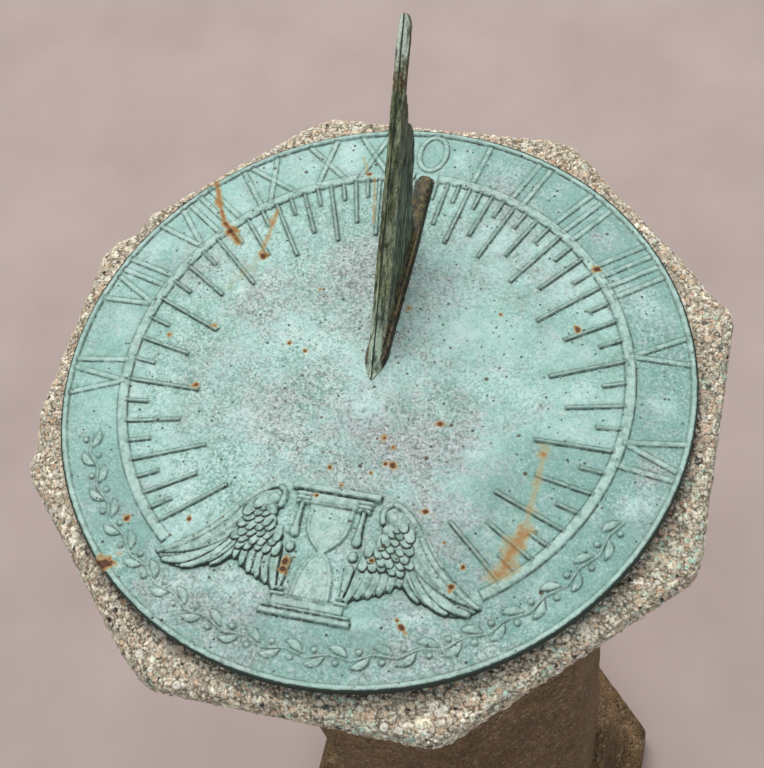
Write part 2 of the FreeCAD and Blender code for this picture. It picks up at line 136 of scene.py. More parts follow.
# ---------------------------------------------------------------- relief of the dial
class Relief:
    """A height field over points (x, y), built up from raised shapes. It also keeps how close each
    point is to a shape's foot, where dirt gathers and painted shade falls, and how much it stands proud."""

    def __init__(self, x, y):
        self.x, self.y = x, y
        self.radius = np.hypot(x, y)
        self.azimuth = np.arctan2(x, y)
        self.height, self.crevice, self.halo, self.proud, self.worn_mark = np.zeros((5, len(x)))

    def near(self, cx, cy, reach):
        return np.flatnonzero((np.abs(self.x - cx) < reach) & (np.abs(self.y - cy) < reach))

    def raise_shape(self, at, distance, height, slope=0.55, dirt_and_shade=1.0):
        """Raise a shape given by its signed distance, negative inside, at the points 'at'."""
        lift = height * smooth(slope * 0.6, -slope, distance)
        self.height[at] = np.maximum(self.height[at], lift)
        self.proud[at] = np.maximum(self.proud[at], smooth(0.2, -slope, distance))
        self.add_dirt_and_shade(at, distance, dirt_and_shade)

    # the dark line and broad halo at a shape's foot: dirt, and painted shade
    def add_dirt_and_shade(self, at, distance, dirt_and_shade=1.0):
        line = dirt_and_shade * smooth(0.62, 0.22, np.abs(distance - 0.25))
        self.crevice[at] = np.maximum(self.crevice[at], line)
        self.halo[at] = np.maximum(self.halo[at], dirt_and_shade * np.exp(-np.maximum(distance, 0) / 1.5))

    def bar(self, start, end, width, height, crown=0.0, dirt_and_shade=1.0, worn=False):
        cx, cy = (start[0] + end[0]) / 2, (start[1] + end[1]) / 2
        length = math.dist(start, end)
        at = self.near(cx, cy, length / 2 + 6)
        ax, ay = (end[0] - start[0]) / length, (end[1] - start[1]) / length
        dx, dy = self.x[at] - cx, self.y[at] - cy
        along = np.abs(dx * ax + dy * ay) - length / 2
        across = np.abs(dy * ax - dx * ay)
        distance = np.maximum(along, across - width / 2)
        rise = height + crown * np.clip(1 - (across / (width / 2)) ** 2, 0, 1)
        self.raise_shape(at, distance, rise, dirt_and_shade=dirt_and_shade)
        if worn:
            self.worn_mark[at] = np.maximum(self.worn_mark[at], smooth(0.35, -0.1, distance))

    def band(self, points, half_widths, base, crown, dirt_and_shade=1.0, quill=0.0, lift=0.0, tilt=0.0, dirt_and_shade_from=None):
        """A tapering band along a curve through three points, laid over what is there. It rises by
        'lift' towards its end and by 'tilt' towards its right-hand side, as overlapping feathers do.
        With a share given last, the dirt and painted shade at the band's foot are kept to its part beyond
        that share of its length."""
        p0, p1, p2 = (np.array(p, float) for p in points)
        bend = 2 * p1 - (p0 + p2) / 2
        s = np.linspace(0, 1, 33)[:, None]
        line = (1 - s) ** 2 * p0 + 2 * s * (1 - s) * bend + s ** 2 * p2
        middle, reach = line.mean(0), np.ptp(line, axis=0).max() / 2 + max(half_widths) + 4
        at = self.near(middle[0], middle[1], reach)
        px, py = self.x[at][:, None] - line[None, :, 0], self.y[at][:, None] - line[None, :, 1]
        gap = np.hypot(px, py)
        nearest = gap.argmin(1)
        pick = np.arange(len(at))
        part = nearest / 32.0
        tangent = np.gradient(line, axis=0)
        side = np.sign(tangent[nearest, 1] * px[pick, nearest] - tangent[nearest, 0] * py[pick, nearest])
        w0, w1, w2 = half_widths
        width = (1 - part) ** 2 * w0 + 2 * part * (1 - part) * (2 * w1 - (w0 + w2) / 2) + part ** 2 * w2
        gap = gap[pick, nearest]
        distance = gap - width
        inside = distance < 0.3
        rise = base + crown * np.clip(1 - (gap / width) ** 2, 0, 1) + quill * np.exp(-(gap / 0.35) ** 2)
        rise += lift * part + tilt * np.clip(side * gap / width, -1, 1)
        chosen = at[inside]
        cover = smooth(0.3, -0.3, distance[inside])
        self.height[chosen] = self.height[chosen] * (1 - cover) + rise[inside] * cover
        self.crevice[chosen] *= 1 - cover
        self.proud[chosen] = np.maximum(self.proud[chosen], cover)
        if dirt_and_shade_from is not None:
            dirt_and_shade = dirt_and_shade * (0.12 + 0.88 * smooth(dirt_and_shade_from - 0.3, dirt_and_shade_from + 0.2, part))
        self.add_dirt_and_shade(at, distance, dirt_and_shade)

    def plateau(self, outline, height, slope=1.2, dirt_and_shade=1.0):
        """Raise the inside of a closed outline, its edge rounded over 'slope'."""
        corners = np.array(outline, float)
        middle, reach = corners.mean(0), np.ptp(corners, axis=0).max() / 2 + 8
        at = self.near(middle[0], middle[1], reach)
        qx, qy = self.x[at], self.y[at]
        distance = np.full(len(at), 1e9)
        inside = np.zeros(len(at), bool)
        for (ax, ay), (bx, by) in zip(corners, np.roll(corners, -1, axis=0)):
            distance = np.minimum(distance, segment_gap(qx, qy, (ax, ay), (bx, by)))
            crosses = (ay > qy) != (by > qy)
            inside ^= crosses & (qx < (bx - ax) * (qy - ay) / ((by - ay) or 1e-9) + ax)
        self.raise_shape(at, np.where(inside, -distance, distance), height, slope, dirt_and_shade)


def hour_azimuth(hour):
    """Direction of an hour's shadow, clockwise from north, for an hour counted from noon."""
    angle = math.radians(15 * hour)
    return math.atan2(math.sin(math.radians(latitude)) * math.sin(angle), math.cos(angle))


def on_hour_line(hour, radius):
    """Where an hour's line, which starts south of the dial's centre, crosses a circle about the centre."""
    azimuth = hour_azimuth(hour)
    along = -hour_line_origin_south * math.cos(azimuth)
    reach = math.sqrt(radius ** 2 - hour_line_origin_south ** 2 + along ** 2) - along
    return math.sin(azimuth) * reach, math.cos(azimuth) * reach - hour_line_origin_south


def rim_and_ring(relief):
    """The rim's bead, the raised ring that the hour marks end at, and the hollow band between them."""
    r = relief.radius
    everywhere = np.arange(len(r))
    bead = np.clip(1 - ((r - (dial_radius - rim_width / 2)) / (rim_width / 2)) ** 2, 0, 1)
    relief.height += rim_height * bead ** 0.45
    relief.proud += bead ** 0.45
    relief.add_dirt_and_shade(everywhere, dial_radius - rim_width - r, 0.9)
    ring = np.maximum(ring_inner - r, r - ring_outer)
    end = (np.abs(relief.azimuth) - math.radians(ring_end)) * ring_inner
    under_foot = gnomon_foot_gap - np.maximum(np.abs(relief.x), np.abs(relief.y - ring_inner))
    middle, half_width = (ring_inner + ring_outer) / 2, (ring_outer - ring_inner) / 2
    rise = ring_height + ring_crown * np.clip(1 - ((r - middle) / half_width) ** 2, 0, 1)
    relief.raise_shape(everywhere, np.maximum(np.maximum(ring, end), under_foot), rise, dirt_and_shade=1.0)
    dish = np.clip((r - ring_outer) / (dial_radius - rim_width - ring_outer), 0, 1)
    relief.height -= band_dish_depth * np.sin(np.pi * dish) ** 2


def marks(relief):
    """A mark for every quarter of an hour but noon, which the gnomon covers."""
    for quarter in range(-last_mark_quarter, last_mark_quarter + 1):
        if quarter:
            start = on_hour_line(quarter / 4, mark_inner[quarter % 4])
            end = on_hour_line(quarter / 4, ring_inner + 0.6)
            relief.bar(start, end, mark_width, mark_height * 0.6, mark_height * 0.5, worn=True)


def numeral(relief, text, hour):
    """Raised Roman numeral between ring and rim, its head towards the rim."""
    x, y = on_hour_line(hour, numeral_radius)
    azimuth = math.atan2(x, y)
    out_x, out_y = math.sin(azimuth), math.cos(azimuth)

    def place(across, out):
        return x + across * out_y + out * out_x, y - across * out_x + out * out_y

    cursor = -sum(letter_widths[letter] for letter in text) / 2
    for letter in text:
        middle = cursor + letter_widths[letter] / 2
        lean = (letter_widths[letter] - numeral_stroke) / 2
        strokes = {"I": [(0, 0)], "V": [(0, -lean), (0, lean)], "X": [(-lean, lean), (lean, -lean)]}[letter]
        for foot, head in strokes:
            ends = place(middle + foot, numeral_reach[0]), place(middle + head, numeral_reach[1])
            relief.bar(*ends, numeral_stroke, numeral_height, dirt_and_shade=0.85)
        cursor += letter_widths[letter]


def noon_mark(relief):
    """The upright oval that stands for XII."""
    at = relief.near(0, numeral_radius, 20)
    wide, tall = noon_oval
    dx, dy = relief.x[at], relief.y[at] - numeral_radius - noon_oval_shift
    reach = np.hypot(dx / wide, dy / tall)
    slant = np.hypot(dx, dy) / np.maximum(reach, 1e-6)
    distance = np.abs((reach - 1) * slant) - numeral_stroke / 2
    relief.raise_shape(at, distance, numeral_height, dirt_and_shade=0.85)


def hourglass(relief):
    """The glass between its slabs, with a turned baluster on each side."""
    xm = emblem_middle
    waist_south, half_height = 91.0, 22.5
    # glass: a filled body with a raised wall, narrow at the waist
    at = relief.near(xm, -waist_south, 26)
    dx, dy = np.abs(relief.x[at] - xm), relief.y[at] + waist_south
    upper = np.interp(dy, [0, 2.5, 6, 10, 14, half_height], [1.6, 4.4, 7.6, 9.6, 10.4, 10.6])
    lower = np.interp(-dy, [0, 2, 6, 11, 17, half_height], [1.6, 3.8, 6.3, 8.2, 9.1, 9.4])
    width = np.where(dy > 0, upper, lower)
    body = np.maximum(dx - width, np.abs(dy) - half_height)
    relief.raise_shape(at, body, 0.75 + 0.45 * np.clip(1 - (dx / width) ** 2, 0, 1), dirt_and_shade=0.6)
    wall = np.maximum(np.abs(dx - width + 1.0) - 0.8, np.abs(dy) - half_height)
    relief.raise_shape(at, wall, 1.35, slope=0.5, dirt_and_shade=0.4)
    # slabs and mouldings above and below
    for south, half, depth, height, dirt_and_shade in ((61.0, 20.9, 3.4, 2.3, 1.0), (65.6, 17.3, 5.6, 1.3, 0.9),
                                             (68.2, 11.0, 1.2, 1.7, 0.7), (121.3, 20.9, 2.9, 1.9, 1.0),
                                             (119.1, 20.2, 1.8, 2.6, 0.8), (115.8, 16.5, 4.6, 1.2, 0.9),
                                             (113.6, 10.6, 1.0, 1.5, 0.7)):
        relief.bar((xm - half, -south), (xm + half, -south), depth, height, 0.2, dirt_and_shade)
    for side in (-1, 1):
        x = xm + side * 14.6
        for south, half in ((64.3, 3.0), (66.4, 2.6), (68.5, 2.3), (112.9, 2.5), (110.6, 1.7)):
            relief.band([(x + share * half, -south) for share in (-1, 0, 1)], (0.8, 0.8, 0.8), 1.5, 0.7, 0.8)
        for souths, widths in (((69.5, 77, 83.6), (1.0, 1.2, 2.1)), ((90.2, 90.5, 90.8), (2.0, 2.0, 2.0)),
                               ((97.0, 102.6, 109.8), (2.2, 1.7, 0.8))):
            relief.band([(x, -south) for south in souths], widths, 1.1, 0.8, 1.1)


# one wing, as (distance from the emblem's middle, distance north of the dial's centre)
wing_outline = [(23.2, -70.0), (22.8, -66.0), (24.6, -62.9), (28.0, -61.6), (31.6, -62.4), (36.0, -66.0),
                (40.0, -70.8), (45.0, -77.6), (50.0, -84.0), (54.0, -88.5), (60.0, -94.3), (65.0, -98.2),
                (70.0, -101.3), (75.2, -103.6), (71.5, -106.9), (65.5, -109.0), (60.0, -109.2),
                (55.0, -107.3), (51.0, -105.2), (47.6, -106.2), (44.0, -104.3), (41.0, -101.5),
                (38.8, -100.2), (36.2, -101.0), (34.0, -103.2), (31.2, -105.2), (28.4, -106.3),
                (25.6, -107.3), (22.8, -108.8), (19.6, -109.5), (17.6, -111.8), (15.4, -111.0),
                (16.6, -105.0), (17.3, -97.0), (18.3, -91.0), (19.6, -86.5), (23.0, -82.5),
                (25.2, -78.5), (24.9, -74.0)]
# long feathers as (tip, bend, root, half width), the lowest laid first
long_feathers = [((47.6, -105.2), (43.6, -101.6), (39.8, -95.5), 1.7),
                 ((51.8, -105.4), (45.6, -99.2), (40.4, -91.0), 2.1),
                 ((60.5, -108.2), (50.8, -102.0), (42.0, -89.0), 2.5),
                 ((70.0, -107.0), (56.5, -102.2), (43.5, -88.0), 2.4),
                 ((38.2, -99.9), (37.4, -95.5), (35.4, -89.0), 1.8),
                 ((34.2, -102.6), (34.1, -97.5), (32.4, -90.5), 2.0),
                 ((30.2, -105.2), (30.5, -99.0), (29.4, -91.5), 2.0),
                 ((25.6, -107.0), (26.8, -100.5), (26.2, -93.5), 2.0),
                 ((21.2, -108.6), (23.0, -102.0), (23.0, -94.5), 2.0),
                 ((16.8, -110.8), (19.0, -103.0), (19.8, -95.0), 1.9)]
# the small feathers' rows: y, from x, to x and half width, the lowest laid first
covert_rows = [(-93.5, 20.4, 38.6, 2.1), (-90.2, 21.6, 40.0, 2.2), (-86.8, 21.8, 38.6, 2.2),
               (-83.4, 24.6, 38.4, 2.3), (-80.0, 27.6, 37.6, 2.3), (-76.6, 27.8, 36.8, 2.3),
               (-73.2, 30.6, 35.0, 2.2)]


def wing(relief, side):
    """One wing: long feathers below, rows of small ones above, and a broad barbed leading edge."""
    def spot(x, y):
        return emblem_middle + side * x, y

    def feather(points, widths, base, crown, dirt_and_shade=1.0, lift=0.0, tilt=0.0, dirt_and_shade_from=None):
        relief.band([spot(*p) for p in points], widths, base, crown, dirt_and_shade, 0.0, lift, tilt * side, dirt_and_shade_from)

    relief.plateau([spot(*p) for p in wing_outline], 1.0, 1.2, 1.3)
    for tip, bend, root, half in long_feathers:
        feather([root, bend, tip], (half, half, half * 0.55), 1.05, 0.35, 1.25, 0.35, 0.55)
    # leading edge: a broad smooth band with a bead along its outer side and barbs along its inner side
    feather([(37.8, -74.0), (50.0, -90.5), (73.5, -103.8)], (2.2, 4.9, 0.7), 1.65, 0.3, 1.15)
    feather([(34.0, -68.5), (41.0, -76.0), (52.0, -89.0)], (3.2, 3.6, 3.4), 1.7, 0.3, 0.0)
    for start, bend, end in (((24.2, -72.0), (23.9, -65.4), (28.4, -62.6)),
                             ((28.4, -62.6), (36.2, -67.6), (43.6, -77.2)),
                             ((43.6, -77.2), (56.4, -92.4), (73.8, -103.5))):
        feather([start, bend, end], (1.2, 1.2, 1.0), 1.8, 0.3, 1.05)
    for k in range(9):
        t = k / 8
        x, y = 40.4 + 12.6 * t + 1.6 * t * t, -82.5 - 17.0 * t + 2.2 * t * t + 0.3 * math.sin(9 * k)
        feather([(x - 1.6, y + 0.4), (x - 0.2, y - 0.3), (x + 1.0, y - 1.4)], (0.14, 0.14, 0.08), 1.75, 0.0,
                0.6)
    for number, (y, x_low, x_high, half) in enumerate(covert_rows):
        count = round((x_high - x_low) / 4.3)
        for k in range(count + 1):
            uneven = math.sin(5.3 * number + 2.9 * k)
            x = x_low + (x_high - x_low) * (k + 0.4 * (number % 2)) / (count + 0.4) + 0.4 * uneven
            drift = 0.5 + 0.13 * (x - 27)
            low = y - 0.9 - 0.5 * math.cos(3.1 * number + 4.7 * k)
            reach = half * (1 + 0.1 * uneven)
            feather([(x - drift, y + 3.8), (x, y + 0.8), (x + drift * 0.6, low)],
                    (reach * 0.8, reach, reach * 0.85), 1.5 + 0.05 * number, 0.06, 1.6, 0.55, 0.22, 0.55)
    feather([(27.6, -69.0), (27.9, -69.4), (28.2, -69.8)], (2.3, 2.3, 2.2), 1.9, 0.5, 0.7)
    feather([(26.4, -75.6), (27.6, -74.6), (28.8, -74.4)], (1.6, 1.9, 1.4), 1.9, 0.3, 0.9)


def leaf_border(relief):
    """A running border of leaves and berries along the lower edge, between the two VI numerals."""
    first, last, count, middle = 114.0, 246.0, 33, 137.3
    step = (last - first) / (count - 1)
    for k in range(count):
        azimuth = math.radians(first + step * k)
        turn = 1 if k % 2 else -1
        ux, uy = math.sin(azimuth), math.cos(azimuth)
        tx, ty = uy, -ux

        def place(along, out):
            return (middle + out) * ux + along * tx, (middle + out) * uy + along * ty

        relief.band([place(-5.0, -1.2 * turn), place(0, 0.0), place(5.0, 1.2 * turn)],
                    (0.45, 0.45, 0.45), 0.35, 0.2, 0.5)
        relief.band([place(-2.6, 0.5 * turn), place(0.9, 3.3 * turn), place(5.2, 4.3 * turn)],
                    (0.4, 1.75, 0.15), 0.35, 0.3, 0.8, 0.22)
        relief.band([place(1.6, -2.5 * turn), place(1.7, -2.5 * turn), place(1.8, -2.5 * turn)],
                    (1.15, 1.15, 1.15), 0.3, 0.45, 0.8)


# rust spots on the plate: x, y and radius in millimetres, and strength
rust_spots = [(-94, 74, 4.2, 0.66), (-89, 69, 3.4, 0.5), (95.5, 77, 2.3, 1.0), (-31, 120, 2.3, 0.8),
              (-73, 62, 2.4, 0.8), (-85, 17, 2.4, 0.5), (41, -63, 1.8, 1.0), (23, -91, 1.6, 1.0),
              (60, -96.5, 1.7, 1.0), (43, -118, 2.0, 1.0), (40, -115, 1.4, 0.8), (21, -43.5, 2.3, 0.9),
              (17.5, -43, 1.7, 0.8), (12, -48.5, 1.4, 0.8), (19, -34, 1.6, 0.7), (14, -30, 1.7, 0.7),
              (38, -18.5, 1.8, 0.8), (-95, -91, 1.6, 0.9), (-98, -115, 4.5, 0.9), (-84, -17, 1.8, 0.7),
              (-107, 8.5, 2.0, 0.6), (-45, 13, 1.4, 0.8), (-36, 10, 1.3, 0.8), (54, 45, 1.5, 0.8),
              (63, -86, 1.5, 0.8), (52.5, -76, 1.2, 0.8), (-65.5, -86, 1.3, 1.0), (-7.5, -49, 1.4, 0.9),
              (-9.5, -64.5, 1.5, 0.9), (0, -57, 1.2, 0.7), (92, 42, 2.0, 0.9), (-15.2, -98.5, 2.6, 1.0),
              (-15.2, -102, 2.2, 1.0), (87.5, -26, 2.4, 0.5), (-38, 46, 1.5, 0.6), (9, 42, 2.4, 0.5)]
# rust runs: from and to, in millimetres, half width and strength
rust_runs = [((-111, 104), (-104, 88), 1.7, 0.72), ((-104, 88), (-97, 76), 1.2, 0.85),
             ((-99, 79), (-88, 68), 1.9, 0.9), ((-74, 62), (-84, 42), 4.5, 0.24),
             ((-73, 90), (-74, 62), 1.7, 0.55), ((88, -22), (86, -66), 2.2, 0.40),
             ((86, -64), (79, -86), 5.0, 0.58), ((-27, 118), (-21, 90), 0.7, 0.55),
             ((-30, 118), (-36, 130), 1.2, 0.35)]


def rust_map(x, y):
    """How rusty each point is, from 0 to 1, with ragged edges."""
    points = np.c_[x, y, np.zeros(len(x))]
    ragged = 1 + 0.45 * layered_noise(points, 3.0, 3, 41)
    rust = np.zeros(len(x))
    for cx, cy, radius, strength in rust_spots:
        gap = np.hypot(x - cx, y - cy) * ragged
        rust = np.maximum(rust, 1.45 * strength * np.exp(-(gap / radius) ** 2 * 1.5))
    for start, end, half, strength in rust_runs:
        gap = segment_gap(x, y, start, end) * ragged
        rust = np.maximum(rust, strength * np.exp(-(gap / half) ** 2))
    return rust


def set_float(mesh, name, values):
    mesh.attributes.new(name, "FLOAT", "POINT").data.foreach_set("value", np.asarray(values, np.float32))


def set_colour(mesh, name, values):
    """A colour for every point, given as rows of linear red, green and blue."""
    flat = np.c_[values, np.ones(len(values))].astype(np.float32).ravel()
    mesh.attributes.new(name, "FLOAT_COLOR", "POINT").data.foreach_set("color", flat)


def shade_smooth(mesh):
    mesh.polygons.foreach_set("use_smooth", np.ones(len(mesh.polygons), bool))


def make_object(name, mesh, body, slot, *nodes):
    piece = bpy.data.objects.new(name, mesh)
    bpy.context.scene.collection.objects.link(piece)
    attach(piece, body)
    if nodes:
        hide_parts(*nodes)
    return piece


def ring_points(radius, spokes):
    """Points evenly round a circle, clockwise from north."""
    spin = np.linspace(0, 2 * np.pi, spokes, endpoint=False)
    return np.c_[radius * np.sin(spin), radius * np.cos(spin)]


def ring_faces(first, spokes, next_first, next_spokes):
    """Faces between one ring of points and the next outward, which has as many spokes or twice as many."""
    here = np.arange(spokes)
    after = (here + 1) % spokes
    if next_spokes == spokes:
        return np.stack([first + here, next_first + here, next_first + after, first + after], -1).tolist()
    return np.stack([first + here, next_first + 2 * here, next_first + 2 * here + 1,
                     next_first + 2 * after, first + after], -1).tolist()


def carve(x, y):
    """All of the plate's raised work at points (x, y)."""
    relief = Relief(x, y)
    rim_and_ring(relief)
    marks(relief)
    for k, text in enumerate(numerals):
        numeral(relief, text, k - 6)
    noon_mark(relief)
    leaf_border(relief)
    hourglass(relief)
    for side in (-1, 1):
        wing(relief, side)
    return relief


def plate_rings(spokes):
    """The top's rings of points from the middle outward, as (radius, number of points)."""
    zones = ((1.2, 26, 1.3, spokes // 8), (26, 54, 0.8, spokes // 4), (54, 78, 0.5, spokes // 2),
             (78, dial_radius - 0.2, 0.46, spokes))
    rings = [(radius, count) for low, high, step, count in zones for radius in np.arange(low, high, step)]
    return rings + [(dial_radius, spokes)]


def weathered_top(x, y):
    """The plate's relief at points (x, y), with its final height and how worn to grey it is."""
    relief = carve(x, y)
    # painted shade: each stroke's crevice line is kept fainter on its north-west side, towards the key light,
    # and dark on its south-east side
    rise_towards_light = carve(x - 0.35, y + 0.6).height - relief.height
    relief.crevice *= 0.5 + 0.5 * smooth(-0.15, 0.3, rise_towards_light)
    # painted shade: the outermost edge of the top is darkened as a crevice
    outer_edge = smooth(dial_radius - 1.5, dial_radius - 0.7, relief.radius)
    relief.crevice = np.maximum(relief.crevice, 1.2 * outer_edge)
    points = np.c_[x, y, np.zeros(len(x))]
    crust = layered_noise(points, 3.2, 3, 17)
    mottle = mottle_map(x, y)
    waves = 0.12 * layered_noise(points, 26.0, 2, 11) + (0.06 + 0.07 * mottle) * crust
    waves *= smooth(dial_radius, dial_radius - 4, relief.radius)
    worn = 1 - 0.3 * smooth(0.1, 0.8, layered_noise(points, 40.0, 2, 23)) * np.clip(relief.proud, 0, 1)
    return relief, np.maximum(relief.height, -band_dish_depth) * worn + waves, mottle


def dial_casting():
    """The dial plate: rings of points carry the relief, then the edge, the underside and its boss."""
    spokes = 1920
    rings = plate_rings(spokes)
    flat = np.concatenate([ring_points(radius, count) for radius, count in rings])
    x, y = flat[:, 0], flat[:, 1]
    relief, height, mottle = weathered_top(x, y)
    height[-spokes:] = rim_edge_height
    # edge and underside, as rings (radius, height) going down and in
    bottom = -plate_thickness - boss_depth
    under = [(dial_radius, -0.8), (dial_radius - 0.3, -plate_thickness + 0.5),
             (dial_radius - 0.9, -plate_thickness), (boss_radius + 1.5, -plate_thickness),
             (boss_radius, -plate_thickness - 1.5), (boss_radius, bottom + 1), (boss_radius - 1, bottom)]
    under_flat = np.concatenate([ring_points(radius, spokes) for radius, _ in under])
    under_z = np.concatenate([np.full(spokes, z) for _, z in under])
    top_z = float(height[:spokes // 8].mean())
    vertices = np.vstack([np.c_[x, y, height], np.c_[under_flat, under_z], [[0, 0, top_z], [0, 0, bottom]]])
    counts = [count for _, count in rings] + [spokes] * len(under)
    firsts = np.r_[0, np.cumsum(counts)]
    faces = []
    for k in range(len(counts) - 1):
        faces += ring_faces(firsts[k], counts[k], firsts[k + 1], counts[k + 1])
    top, low, last = len(vertices) - 2, len(vertices) - 1, firsts[-2]
    faces += [[top, k, (k + 1) % counts[0]] for k in range(counts[0])]
    faces += [[low, last + (k + 1) % spokes, last + k] for k in range(spokes)]
    mesh = bpy.data.meshes.new("dial_casting")
    mesh.from_pydata((vertices * MM + np.array(dial_centre)).tolist(), [], faces)
    shade_smooth(mesh)
    # what the paint needs to know: each name with its values on the top, and on the edge and underside
    # painted shade: the edge and underside are darkened by a crevice value above 1, a full halo and a low
    # tone
    edge_painted_shade = np.r_[np.where(under_z > -plate_thickness - 0.5, 1.25, 0.7), 0, 0.7]
    for name, above, below in (("crevice", relief.crevice, edge_painted_shade), ("halo", relief.halo, 1.0),
                               ("proud", np.clip(relief.proud, 0, 1), 0.0), ("mark", relief.worn_mark, 0.0),
                               ("rust", rust_map(x, y), 0.0), ("tone", tone_map(x, y), -0.6),
                               ("mottle", mottle, 0.0), ("coarse", speckle_map(x, y), 1.0)):
        set_float(mesh, name, np.r_[above, np.broadcast_to(below, len(vertices) - len(x))])
    mesh.validate()
    return make_object("dial_casting", mesh, "dial", "plate_bronze", "dial_plate")


def tone_map(x, y):
    """Broad lights and darks of the patina: paler in the middle of each panel between the numerals and
    over the western field, darker along the eastern and southern bands."""
    radius, azimuth = np.hypot(x, y), np.degrees(np.arctan2(x, y))
    tone = 0.25 * smooth(30, -110, x) * smooth(118, 110, radius)
    band = smooth(122, 127, radius) * smooth(151, 146, radius)
    tone -= band * (0.2 + 0.42 * smooth(105, 45, np.abs(azimuth - 78)))
    tone -= 0.3 * band * smooth(105, 125, np.abs(azimuth))
    tone -= 0.6 * smooth(45, 25, np.abs(azimuth - 135)) * smooth(60, 90, radius) * smooth(122, 118, radius)
    for hour in np.arange(-6.5, 7.0):
        centre = on_hour_line(hour, numeral_radius)
        gap = np.hypot(x - centre[0], y - centre[1])
        tone += 0.8 * np.exp(-(gap / 6.5) ** 2) * (0.6 + 0.4 * math.sin(7 * hour))
    return tone


def speckle_map(x, y):
    """How coarse the patina is: rougher over the western and middle field, smoother in the east."""
    radius = np.hypot(x, y)
    coarse = 0.3 + 0.6 * smooth(50, -30, x) * smooth(122, 110, radius)
    coarse += 0.25 * smooth(140, 60, np.abs(x)) * (y < -100)
    points = np.c_[x, y, np.zeros(len(x))]
    return np.clip(coarse + 0.3 * layered_noise(points, 30.0, 3, 43), 0.1, 1.0)


def mottle_map(x, y):
    """Where the patina has worn to a purplish grey."""
    patches = [(20, -33, 50, 1.0), (-30, -22, 38, 0.9), (-16, 52, 40, 1.0), (-62, 38, 34, 0.8),
               (44, -70, 38, 0.8), (8, 22, 24, 0.6), (-40, -130, 44, 0.95), (60, -132, 40, 0.8),
               (58, 62, 26, 0.5), (-104, 58, 22, 0.6), (136, -28, 12, 0.9), (40, 112, 30, 0.6),
               (70, -96, 30, 0.6), (-80, 0, 30, 0.5)]
    mottle = np.full(len(x), 0.12)
    for cx, cy, reach, strength in patches:
        mottle = np.maximum(mottle, strength * np.exp(-(np.hypot(x - cx, y - cy) / reach) ** 2))
    return mottle


# ---------------------------------------------------------------- remeshed castings and stones
def remeshed_copy(node, voxel, smoothing):
    """A copy of a CAD node's mesh with even faces and softened edges, its sealed inner voids left out."""
    mesh = frame["nodes"][node].data.copy()
    work = bpy.data.objects.new("work", mesh)
    bpy.context.scene.collection.objects.link(work)
    form = bmesh.new()
    form.from_mesh(mesh)
    bmesh.ops.remove_doubles(form, verts=form.verts, dist=1e-6)
    form.to_mesh(mesh)
    form.free()
    remesh = work.modifiers.new("remesh", "REMESH")
    remesh.mode = "VOXEL"
    remesh.voxel_size = voxel
    soften = work.modifiers.new("soften", "SMOOTH")
    soften.factor = 0.5
    soften.iterations = smoothing
    graph = bpy.context.evaluated_depsgraph_get()
    result = bpy.data.meshes.new_from_object(work.evaluated_get(graph))
    bpy.data.objects.remove(work)
    form = bmesh.new()
    form.from_mesh(result)
    keep_largest(form)
    form.to_mesh(result)
    form.free()
    shade_smooth(result)
    return result


def keep_largest(form):
    """Delete every loose part but the one with the most points."""
    unseen = set(form.verts)
    parts = []
    while unseen:
        part, stack = set(), [unseen.pop()]
        while stack:
            vertex = stack.pop()
            part.add(vertex)
            for edge in vertex.link_edges:
                other = edge.other_vert(vertex)
                if other in unseen:
                    unseen.discard(other)
                    stack.append(other)
        parts.append(part)
    parts.sort(key=len)
    for part in parts[:-1]:
        bmesh.ops.delete(form, geom=list(part), context="VERTS")


def read_points(mesh):
    points = np.empty(len(mesh.vertices) * 3, np.float32)
    mesh.vertices.foreach_get("co", points)
    normals = np.empty(len(mesh.vertices) * 3, np.float32)
    mesh.vertices.foreach_get("normal", normals)
    return points.reshape(-1, 3).astype(float), normals.reshape(-1, 3).astype(float)


def write_points(mesh, points):
    mesh.vertices.foreach_set("co", points.astype(np.float32).ravel())
    mesh.update()


